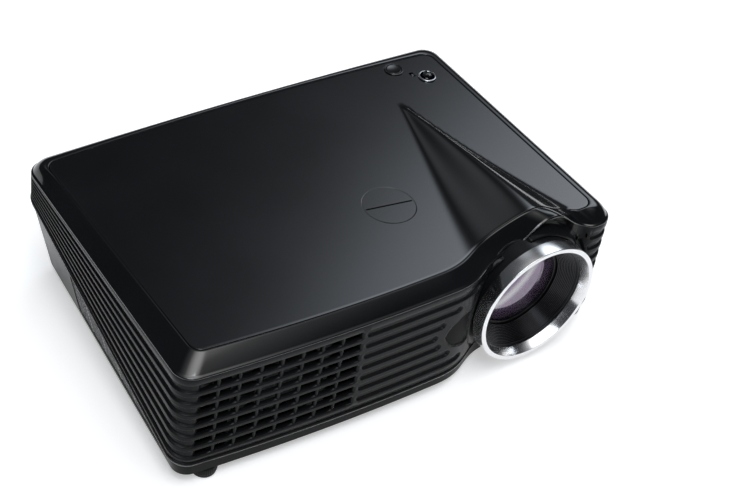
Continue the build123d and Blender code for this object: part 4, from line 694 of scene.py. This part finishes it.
# Each hole has its X, Y and radius, and the number of cells round it that the fan takes up.
holes = [(27.2, -29.0, 17.7, 4), (116.2, 92.3, 7.1, 2), (133.5, 75.5, 5.7, 2), (125.2, 81.7, 1.25, 1)]
gap_line = [piece - outward(piece, closed=False) * 0.53 for piece in seam]
low_line = rising(np.concatenate(gap_line[1:8]))
high_line = rising(np.concatenate(gap_line[9:12])[::-1])
left_end, right_end = low_line[0, 0], low_line[-1, 0]
round_x = 7.5 * (1 - np.cos(np.linspace(0, np.pi / 2, 9)))
x_grid = np.concatenate([left_end + round_x, np.linspace(left_end + 7.5, right_end - 7.5, 172)[1:-1],
                         right_end - round_x[::-1]])
low_y, high_y = [np.interp(x_grid, line[:, 0], line[:, 1]) for line in (low_line, high_line)]
panel_y = low_y + (high_y - low_y) * np.linspace(0, 1, 112)[:, None]
panel_x = np.broadcast_to(x_grid, panel_y.shape)


def holed_grid(x, y, holes):
    """Plan of a grid with round holes: the cells round each hole are left out, and lines fan in from the edge
    of that block to the circle. Gives points, faces, and the numbers of each circle's points."""
    columns = x.shape[1]
    points, faces, circles = [np.stack([x.ravel(), y.ravel()], 1)], [], []
    cells = grid_faces(*x.shape)
    kept = np.ones(len(cells), bool)
    total = x.size
    shares = (0.35, 0.65, 0.86, 0.96, 1.0)
    for hole_x, hole_y, hole_r, margin in holes:
        near = (np.abs(x - hole_x) < hole_r) & (np.abs(y - hole_y) < hole_r)
        if not near.any():
            near.flat[np.hypot(x - hole_x, y - hole_y).argmin()] = True
        row, column = np.nonzero(near)
        r0, r1 = row.min() - margin, row.max() + margin
        c0, c1 = column.min() - margin, column.max() + margin
        cell_row, cell_column = cells[:, 0] // columns, cells[:, 0] % columns
        kept &= ~((cell_row >= r0) & (cell_row < r1) & (cell_column >= c0) & (cell_column < c1))
        loop = np.concatenate([
            r0 * columns + np.arange(c0, c1), np.arange(r0, r1) * columns + c1,
            r1 * columns + np.arange(c1, c0, -1), np.arange(r1, r0, -1) * columns + c0,
        ])
        edge = points[0][loop]
        spoke = edge - [hole_x, hole_y]
        circle = [hole_x, hole_y] + spoke / np.linalg.norm(spoke, axis=1, keepdims=True) * hole_r
        rings = [edge + (circle - edge) * share for share in shares]
        numbers = [loop] + [total + k * len(loop) + np.arange(len(loop)) for k in range(len(shares))]
        for a, b in zip(numbers[:-1], numbers[1:]):
            faces.append(np.stack([a, np.roll(a, -1), np.roll(b, -1), b], 1))
        points.append(np.concatenate(rings))
        circles.append(numbers[-1])
        total += len(shares) * len(loop)
    return np.concatenate(points), np.concatenate([cells[kept]] + faces), circles


flat, panel_faces, circles = holed_grid(panel_x, panel_y, holes)
panel_points = np.column_stack([flat, cover_top + bulge(flat[:, 0], flat[:, 1])])
rows, width = panel_x.shape
border = np.concatenate([
    np.arange(width), np.arange(1, rows) * width + width - 1,
    (rows - 1) * width + np.arange(width - 2, -1, -1), np.arange(rows - 2, 0, -1) * width,
])
# Round its outside and in each hole the panel has a small rounded edge, and then a wall 2 deep.
for loop in [border] + circles:
    line = panel_points[loop]
    if loop is border:
        edge_radius = 0.36
        away = outward(line[:, :2])
    else:
        edge_radius = 0.15
        inwards = line[:, :2].mean(0) - line[:, :2]
        away = inwards / np.linalg.norm(inwards, axis=1, keepdims=True)
    turn = np.linspace(0, np.pi / 2, 5)[1:]
    steps = [(edge_radius * np.sin(a), edge_radius * (1 - np.cos(a))) for a in turn]
    for reach, drop in steps + [(edge_radius, 2.0)]:
        below = len(panel_points) + np.arange(len(loop))
        new = np.column_stack([line[:, :2] + away * reach, line[:, 2] - drop])
        panel_points = np.concatenate([panel_points, new])
        band = np.stack([loop, np.roll(loop, -1), np.roll(below, -1), below], 1)
        panel_faces = np.concatenate([panel_faces, band])
        loop = below
panel = mesh_object("inlaid_panel", panel_points, panel_faces, gloss_black)
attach(panel, "casing")
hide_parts("top_panel")


# Keystone dial: a flat disc of the same gloss black, turned with a coin in its slot. It sits flush in the
# panel on a hidden flange, and a crank under it moves the picture frame.
dial_black = moulded("dial_black_abs", (0.0036, 0.0040, 0.0048), 0.085, 0.03, 0.0030, cloud=0.3, coat=0.3)
matt_black = moulded("matt_black_abs", (0.0075, 0.0075, 0.0080), 0.42, 0.25, 0.0008, shine=0.3)
dress(dial_black, "keystone_dial")
dress(matt_black, "keystone_crank")


# Power button: a dished cap of gloss black that moves down in a raised ring of the panel. Beside it a clear
# pipe brings the light of a small lamp on the key board up to the surface.
def revolved(name, section, centre, axis, material, count=128):
    """A closed profile turned round an axis through a point. The profile is rows of distance from the axis
    and place along it; a point of the piece is the centre plus the distance times cosine and sine of the
    turn."""
    section = np.asarray(section, float)
    turn = np.linspace(0, 2 * np.pi, count, endpoint=False)
    out, along = section[:, :1], np.broadcast_to(section[:, 1:], (len(section), count))
    a, b = out * np.cos(turn), out * np.sin(turn)
    order = {"Y": (a, along, b), "Z": (a, b, along)}[axis]
    points = (np.stack(order, -1) + np.asarray(centre, float)).reshape(-1, 3)
    return mesh_object(name, points, grid_faces(len(section), count, closed=True), material)


def rounded(corners, radii):
    """A profile whose corners are arcs that touch both arms; a radius of 0 keeps the corner. It ends where it
    begins."""
    corners = np.asarray(corners, float)
    rows = []
    for k, radius in enumerate(radii):
        if radius == 0:
            rows.append(corners[k:k + 1])
        else:
            after = corners[(k + 1) % len(corners)]
            rows.append(touching_arc(corners[k], corners[k - 1], after, radius, 5))
    rows = np.concatenate(rows)
    return np.concatenate([rows, rows[:1]])


# Sections are rows of distance from the axis and height.
button_place, lamp_place = (116.2, 92.3, 0.0), (125.2, 81.7, 0.0)
reach = np.linspace(0, 4.7, 9)
dish = np.column_stack([reach, 100.45 + 0.3 * (reach / 5.4) ** 2])
brim = touching_arc(np.array([5.4, 100.75]), (4.7, 100.677), (5.4, 99.0), 0.35, 5)
cap = np.concatenate([dish, brim, [[5.4, 97.8], [6.6, 97.8], [6.6, 96.0], [0.0, 96.0]]])
button = revolved("dished_button", cap, button_place, "Z", dial_black, 96)
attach(button, "button")
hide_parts("power_button")
surround = rounded([(5.7, 98.4), (5.7, 100.8), (7.0, 100.8), (7.0, 98.4)], (0, 0.25, 0.45, 0))
ring_round = revolved("button_surround", surround, button_place, "Z", gloss_black, 96)
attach(ring_round, "casing")


def clear(name, colour, rough, ior, through=1.0):
    """Glass or clear plastic: light goes through it, and a faint cloud wanders over its roughness."""
    look = Surface(name, IOR=ior, Transmission_Weight=through)
    cloud = look.noise(40.0, 3.0)
    look.colour(cloud, [(0.0, shade(colour, 0.94)), (1.0, colour)])
    look.roughness(cloud, rough * 0.7, rough * 1.3)
    return look.material


smoked = clear("smoked_acrylic", (0.30, 0.32, 0.34), 0.08, 1.49, 0.7)
pipe_section = [(0.0, 100.12), (0.55, 100.08), (0.95, 99.9), (1.1, 99.6), (1.1, 89.6), (0.0, 89.6)]
pipe = revolved("light_pipe", pipe_section, lamp_place, "Z", smoked, 48)
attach(pipe, "casing")
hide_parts("indicator_light")


# Joystick: a small five-way knob of black ABS with a cross moulded on its cap, in a bright plated rim. It
# leans in a cradle and a rocker on the posts of the key board.
stick_place = (133.5, 75.5, 0.0)


def metal(name, colour, rough, scratch=0.1):
    """Worked metal: a colour that clouds a little, over fine scratches and spots of wear."""
    look = Surface(name, Metallic=1.0)
    cloud_scale, scratch_scale = 60.0, 1080.0
    wide = look.noise(cloud_scale, 4.0)
    look.colour(wide, [(0.0, shade(colour, 0.84)), (1.0, colour)])
    look.roughness(wide, rough * 0.7, rough * 1.3)
    look.bump(look.noise(scratch_scale, 3.0), scratch, 0.0001)
    return look.material


plated = metal("smoked_chrome", (0.46, 0.47, 0.50), 0.12, 0.05)
collar = rounded([(5.1, 96.6), (5.1, 101.2), (6.6, 101.2), (6.6, 100.02), (5.6, 100.02), (5.6, 96.6)],
                 (0, 0.45, 0.8, 0.1, 0, 0))
rim_ring = revolved("plated_rim", collar, stick_place, "Z", plated, 96)
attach(rim_ring, "casing")
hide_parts("joystick_rim")


def cross_cap(count=96):
    """The knob: a stem, a round foot of 3.2, and a cross whose arms are 3 wide and reach 3.65. The outline of
    the cross is the smooth lesser of its arms and of a hollow between them. The top is a shallow dome."""
    turn = np.linspace(0, 2 * np.pi, count, endpoint=False)
    from_arm = np.abs((turn + np.pi / 4) % (np.pi / 2) - np.pi / 4)
    four_fold = np.cos(from_arm * 4)
    arm = np.minimum(3.65, 1.5 / np.maximum(np.sin(from_arm), 1e-3))
    hollow = 2.25 - 0.35 * four_fold + 1.6 * (four_fold > 0)
    soft = 0.25
    cross = -soft * np.log(np.exp(-arm / soft) + np.exp(-hollow / soft))
    cross = np.clip(cross, 1.9, 3.65)
    nothing, stem, foot = [np.full(count, radius) for radius in (0.0, 1.24, 3.2)]
    rows = [
        (nothing, 92.2), (stem, 92.2), (stem, 98.8), (foot - 0.3, 98.8), (foot, 99.1), (foot, 100.2),
        (foot - 0.35, 100.6), (cross - 0.05, 100.7), (cross, 101.0), (cross, 102.8), (cross - 0.12, 103.05),
        (cross - 0.4, 103.2), (cross * 0.6, 103.32), (cross * 0.3, 103.38), (nothing, 103.4),
    ]
    points = [np.column_stack([r * np.cos(turn), r * np.sin(turn), np.full(count, z)]) for r, z in rows]
    return np.concatenate(points) + stick_place, grid_faces(len(rows), count, closed=True)


knob_points, knob_faces = cross_cap()
knob = mesh_object("cross_knob", knob_points, knob_faces, dial_black)
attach(knob, "stick_knob")
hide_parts("joystick_knob")
dress(matt_black, "joystick_cradle", "joystick_rocker")


# Lens housing: the fixed black collar in the opening of the case, turned smooth, with the tube behind it in
# which the focus barrel turns.
collar_black = moulded("collar_black_abs", (0.0070, 0.0072, 0.0080), 0.26, 0.12, 0.0012, shine=0.4)
dress(collar_black, "lens_housing")
dress(matt_black, "focus_barrel")


# Focus ring: aluminium, turned and left bright, with a flat front face and a bevel that leads in to the
# black cone. It is turned by hand and screws the lens in and out.
def turned_metal(name, colour, rough, stretch, centre):
    """Metal from the lathe: the gloss is drawn out across fine rings round the Y axis through a point."""
    look = Surface(name, Roughness=rough, Metallic=1.0, Anisotropic=stretch, Anisotropic_Rotation=0.25)
    look.colour(look.noise(70.0, 3.0), [(0.0, shade(colour, 0.88)), (1.0, colour)])
    centred = look.node("ShaderNodeMapping", Location=[-c * 0.001 for c in centre])
    rings = look.node("ShaderNodeTexWave", wave_type="RINGS", rings_direction="Y", Scale=500.0,
                      Distortion=0.3)
    look.link.new(look.place, centred.inputs["Vector"])
    look.link.new(centred.outputs["Vector"], rings.inputs["Vector"])
    look.bump(rings.outputs["Fac"], 0.06, 0.00005)
    round_about = look.node("ShaderNodeTangent", direction_type="RADIAL", axis="Y")
    look.link.new(round_about.outputs["Tangent"], look.shader.inputs["Tangent"])
    return look.material


# Sections of the lens are rows of distance from its axis and place along Y.
lens_centre = (lens_x, 0.0, lens_z)
bright_ring = turned_metal("turned_aluminium", (0.79, 0.79, 0.80), 0.20, 0.75, lens_centre)
ring_section = rounded(
    [(42.3, -113.0), (45.4, -113.0), (45.4, -102.8), (40.3, -102.8), (40.3, -104.2), (40.05, -106.7)],
    (0.3, 0.5, 0.4, 0, 0, 0.15))
ring = revolved("turned_ring", ring_section, lens_centre, "Y", bright_ring, 256)
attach(ring, "focus_sleeve")
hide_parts("focus_ring")


# Cone in the mouth of the lens: black anodised, with fine steps from the lathe that keep stray light off
# the glass. It is screwed into the focus barrel.
def stepped_cone():
    """Profile from the mouth to the throat: a straight line on which a round-backed step of 1 mm repeats,
    then the plain outside back to the mouth."""
    steps, step_height = 15, 0.26
    along = np.linspace(0, 1, steps * 10 + 1)
    radius, depth = 39.9 - 8.9 * along, -106.8 + 13.2 * along
    step = np.abs(np.sin(np.pi * steps * along)) * step_height
    inner = np.column_stack([radius - step * 0.83, depth - step * 0.56])
    outer = [(31.8, -93.5), (32.3, -93.6), (39.0, -103.6), (40.1, -103.7), (40.1, -106.0), (40.0, -106.8)]
    return np.concatenate([inner, outer, inner[:1]])


anodised = moulded("black_anodised", (0.006, 0.006, 0.0066), 0.22, 0.06, 0.0006, shine=0.28)
cone_black = turned_metal("turned_anodised", (0.030, 0.030, 0.032), 0.26, 0.85, lens_centre)
cone = revolved("stepped_cone", stepped_cone(), lens_centre, "Y", cone_black, 240)
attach(cone, "focus_sleeve")
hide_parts("lens_baffle")


# Front lens: a strongly curved glass with a coating that reflects violet, held by a screwed ring in the
# lens cell, with two more lenses behind it.
def coated_glass(name, colour, mirror, rough, band=0.8):
    """Coated glass: part of the light comes back in the colour of the coating, and the rest goes through.
    Painted reflection: the colour is painted lighter towards the upper left and darker towards the lower
    right, and a pale painted highlight band of a brightness crosses it above the axis."""
    look = Surface(name, IOR=1.52, Metallic=mirror, Transmission_Weight=0.82, Coat_Weight=0.3,
                   Coat_Roughness=0.02)
    # The way from the lower right to the upper left, along which the painted reflection grows lighter, and
    # both ends of its range on it in metres.
    painted_reflection_way, low_end, high_end = (-0.70, 0.0, 0.71), -0.0478, -0.0138
    slant = look.node("ShaderNodeVectorMath", operation="DOT_PRODUCT")
    slant.inputs[1].default_value = painted_reflection_way
    across = look.node("ShaderNodeMapRange", From_Min=low_end, From_Max=high_end)
    look.link.new(look.place, slant.inputs[0])
    look.link.new(slant.outputs["Value"], across.inputs["Value"])
    # Each step has its place across the glass, its strength, and how far its colour is drawn to grey. The
    # strengths paint the reflection, and the step at 0.84 paints the pale highlight band.
    steps = []
    for share, level, paler in ((0.0, 0.34, 0), (0.55, 0.60, 0), (0.68, 0.75, 0.1), (0.84, band, 0.6),
                                (0.98, 0.8, 0.1)):
        steps.append((share, [min(1.0, level * (c + paler * (max(colour) - c))) for c in colour]))
    look.colour(across.outputs["Result"], steps).interpolation = "EASE"
    look.roughness(look.noise(25.0, 2.0), rough * 0.6, rough * 1.4)
    return look.material


def lens_profile(radius, front, back, front_bulge, back_bulge):
    """Half section of a lens: a circle's arc from the axis out over the front, a small bevel, the edge, and
    an arc back to the axis."""
    out = radius * np.sin(np.linspace(0, np.pi / 2, 24))

    def arc(bulge):
        ball = (radius**2 + bulge**2) / (2 * bulge)
        return bulge - ball + np.sqrt(ball**2 - out**2)

    face = np.column_stack([out, front - arc(front_bulge)])
    rear = np.column_stack([out, back + arc(back_bulge)])[::-1]
    bevel = 0.3
    face[-1, 0] -= bevel
    rear[0, 0] -= bevel
    return np.concatenate([face, [[radius, front + bevel], [radius, back - bevel]], rear])


# The front glass carries a bright painted highlight band.
violet_glass = coated_glass("violet_coated_glass", (0.52, 0.36, 0.58), 0.26, 0.03, band=2.3)
glass_section = lens_profile(29.5, -91.5, -87.5, 6.5, 0.6)
front_glass = revolved("front_glass", glass_section, lens_centre, "Y", violet_glass, 160)
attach(front_glass, "lens_slide")
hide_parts("front_lens")
# The lenses behind carry the same painted reflection, with a weaker band.
inner_glass = coated_glass("rose_coated_glass", (0.74, 0.62, 0.74), 0.35, 0.04)
dress(inner_glass, "middle_lens", "rear_lens", "condenser_lens")
keeper_section = rounded([(29.05, -92.8), (36.5, -92.8), (36.5, -91.82), (29.05, -91.82)],
                         (0.35, 0.2, 0, 0))
keeper = revolved("lens_keeper", keeper_section, lens_centre, "Y", anodised, 160)
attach(keeper, "lens_slide")
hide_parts("lens_retainer")
dress(matt_black, "lens_cell")


# Front feet: a moulded knob with a milled edge on a threaded stud, and a rubber pad that it carries down to
# the table. The two rear feet are plain rubber, glued into the floor of the case.
def milled_knob(place):
    """Points of the knob from below: the edge is a circle of 8.5 less a cosine of 40 waves, 0.28 deep, eased
    out at the rounded shoulders, with the plain stud above."""
    count = 320
    turn = np.linspace(0, 2 * np.pi, count, endpoint=False)
    wave = 0.14 - 0.14 * np.cos(40 * turn)
    # Each row has its radius, its height and the share of the wave.
    rows = [
        (0.0, 3.0, 0), (7.6, 3.0, 0), (8.1, 3.15, 0.2), (8.4, 3.5, 0.8), (8.5, 3.9, 1), (8.5, 7.7, 1),
        (8.4, 8.1, 0.8), (8.0, 8.55, 0.2), (7.4, 8.7, 0), (4.0, 8.7, 0), (4.0, 24.0, 0), (0.0, 24.0, 0),
    ]
    radius = np.array([r - w * wave * (r > 0) for r, z, w in rows])
    height = np.array([[z] for r, z, w in rows]) * np.ones(count)
    points = np.stack([place[0] + radius * np.cos(turn), place[1] + radius * np.sin(turn), height], -1)
    return points.reshape(-1, 3), grid_faces(len(rows), count, closed=True)


rubber = moulded("black_rubber", (0.012, 0.012, 0.012), 0.62, 0.5, 0.0007, shine=0.3)
pad_section = [(0.0, 0.25), (2.0, 0.25), (2.3, 0.0), (6.0, 0.0), (6.9, 0.25), (7.55, 0.8), (7.85, 1.5),
               (7.9, 2.2), (7.9, 2.98), (0.0, 2.98)]
for side, place in (("left", (-139.0, -92.5)), ("right", (141.0, -83.0))):
    points, faces = milled_knob(place)
    foot = mesh_object("milled_foot_" + side, points, faces, satin_black)
    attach(foot, side + "_knob")
    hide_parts("front_" + side + "_foot")
    pad = revolved("foot_pad_" + side, pad_section, place + (0.0,), "Z", rubber, 96)
    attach(pad, side + "_pad")
    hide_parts("front_" + side + "_pad")
rear_section = [(0.0, 0.3), (3.0, 0.3), (3.3, 0.0), (6.3, 0.0), (7.4, 0.3), (8.1, 0.9), (8.45, 1.8),
                (8.5, 3.0), (8.5, 9.0), (0.0, 9.0)]
rear_pads = [revolved("rear_foot_" + side, rear_section, (x, 92.0, 0.0), "Z", rubber, 96)
             for side, x in (("left", -128.0), ("right", 128.0))]
for pad in rear_pads:
    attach(pad, "casing")
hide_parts("rear_feet")
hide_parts("rear_feet")


# Side mesh panel: black styrene with six bays of fine slots, clipped into the left wall. The air filter
# behind it is a mat of open foam.
mesh_black = moulded("mesh_black_styrene", (0.020, 0.020, 0.023), 0.26, 0.25, 0.0008, shine=0.5)
dress(mesh_black, "side_mesh_panel")


def foam(name, colour):
    """Open foam: cells of 0.9 mm with their walls standing up, and painted shade that darkens the pores."""
    look = Surface(name, Roughness=0.92)
    cells = look.node("ShaderNodeTexVoronoi", feature="DISTANCE_TO_EDGE", Scale=1100.0)
    look.link.new(look.place, cells.inputs["Vector"])
    from_wall = cells.outputs["Distance"]
    # Painted shade: lighter on the cell walls, darker down in the pores.
    look.colour(from_wall, [(0.0, shade(colour, 1.5)), (1.0, shade(colour, 0.2))])
    look.bump(from_wall, 0.8, 0.0004, invert=True)
    return look.material


dress(foam("black_filter_foam", (0.030, 0.030, 0.032)), "air_filter")


# Rear plate and connectors: a plate of tinned steel held by the sockets that are soldered to the main board.
# The shells of the sockets are nickelled steel, and the round ones are black nylon.
tinned = metal("tinned_steel", (0.44, 0.44, 0.43), 0.34, 0.15)
nickel = metal("nickel_shell", (0.72, 0.70, 0.66), 0.22, 0.08)
socket_black = moulded("socket_black_nylon", (0.016, 0.016, 0.017), 0.38, 0.2, 0.0006)
dress(tinned, "rear_plate", "mirror_bracket", "case_screws")
dress(nickel, "hdmi_jack", "usb_jack", "vga_jack")
dress(socket_black, "av_jacks")


# Mains inlet and its switch: black nylon mouldings snapped into the rear wall. The inlet keeps three pins
# deep in its mouth.
dress(socket_black, "ac_inlet", "power_switch_body")
dress(dial_black, "power_switch_rocker")


# Light path: a black housing with the plate lenses, the picture panel in its frame and the mirror that
# turns the light into the lens.
dress(matt_black, "optical_housing", "lcd_frame")
acrylic = clear("clear_acrylic", (0.90, 0.93, 0.93), 0.12, 1.49)
dress(acrylic, "fresnel_lens_rear", "fresnel_lens_front")
panel_glass = clear("polarised_glass", (0.20, 0.22, 0.24), 0.10, 1.52, 0.5)
dress(panel_glass, "lcd_panel")
dress(metal("front_silver", (0.92, 0.92, 0.93), 0.03, 0.01), "fold_mirror")


# Lamp and heat sink: an extruded aluminium sink, with a bright lamp plate and its yellow phosphor dome
# clamped against its base.
extruded = metal("extruded_aluminium", (0.66, 0.66, 0.67), 0.34, 0.2)
dress(extruded, "heat_sink")
phosphor = moulded("phosphor_silicone", (0.78, 0.62, 0.14), 0.25, 0.1, 0.0008, cloud=0.08, coat=0.3)
dress(phosphor, "light_led")


# Fans: square frames and seven-bladed rotors of grey-black glass-filled plastic, one blowing out at the front
# and one drawing in through the filter.
fan_black = moulded("fan_black_nylon", (0.013, 0.0135, 0.014), 0.48, 0.35, 0.0006, shine=0.35)
dress(fan_black, "exhaust_fan_frame", "exhaust_fan_rotor", "intake_fan_frame", "intake_fan_rotor")


# Boards: green glass-epoxy boards with plain parts on them, on posts of the case and bosses of the cover.
# One coat of green lacquer covers a board and its parts.
board_green = moulded("green_board_lacquer", (0.012, 0.085, 0.035), 0.30, 0.3, 0.0012, cloud=0.3, coat=0.2)
dress(board_green, "key_board", "power_board", "main_board")


# Speaker: a plate with a cone and magnet, behind the slots of the right wall. It is matt black all over, so
# that little of it shows through the slots.
dress(matt_black, "speaker")


# Threaded inserts for the screws of a ceiling bracket: four bushes of turned brass, pressed into the floor
# of the case.
dress(metal("turned_brass", (0.78, 0.60, 0.30), 0.25, 0.15), "ceiling_inserts")
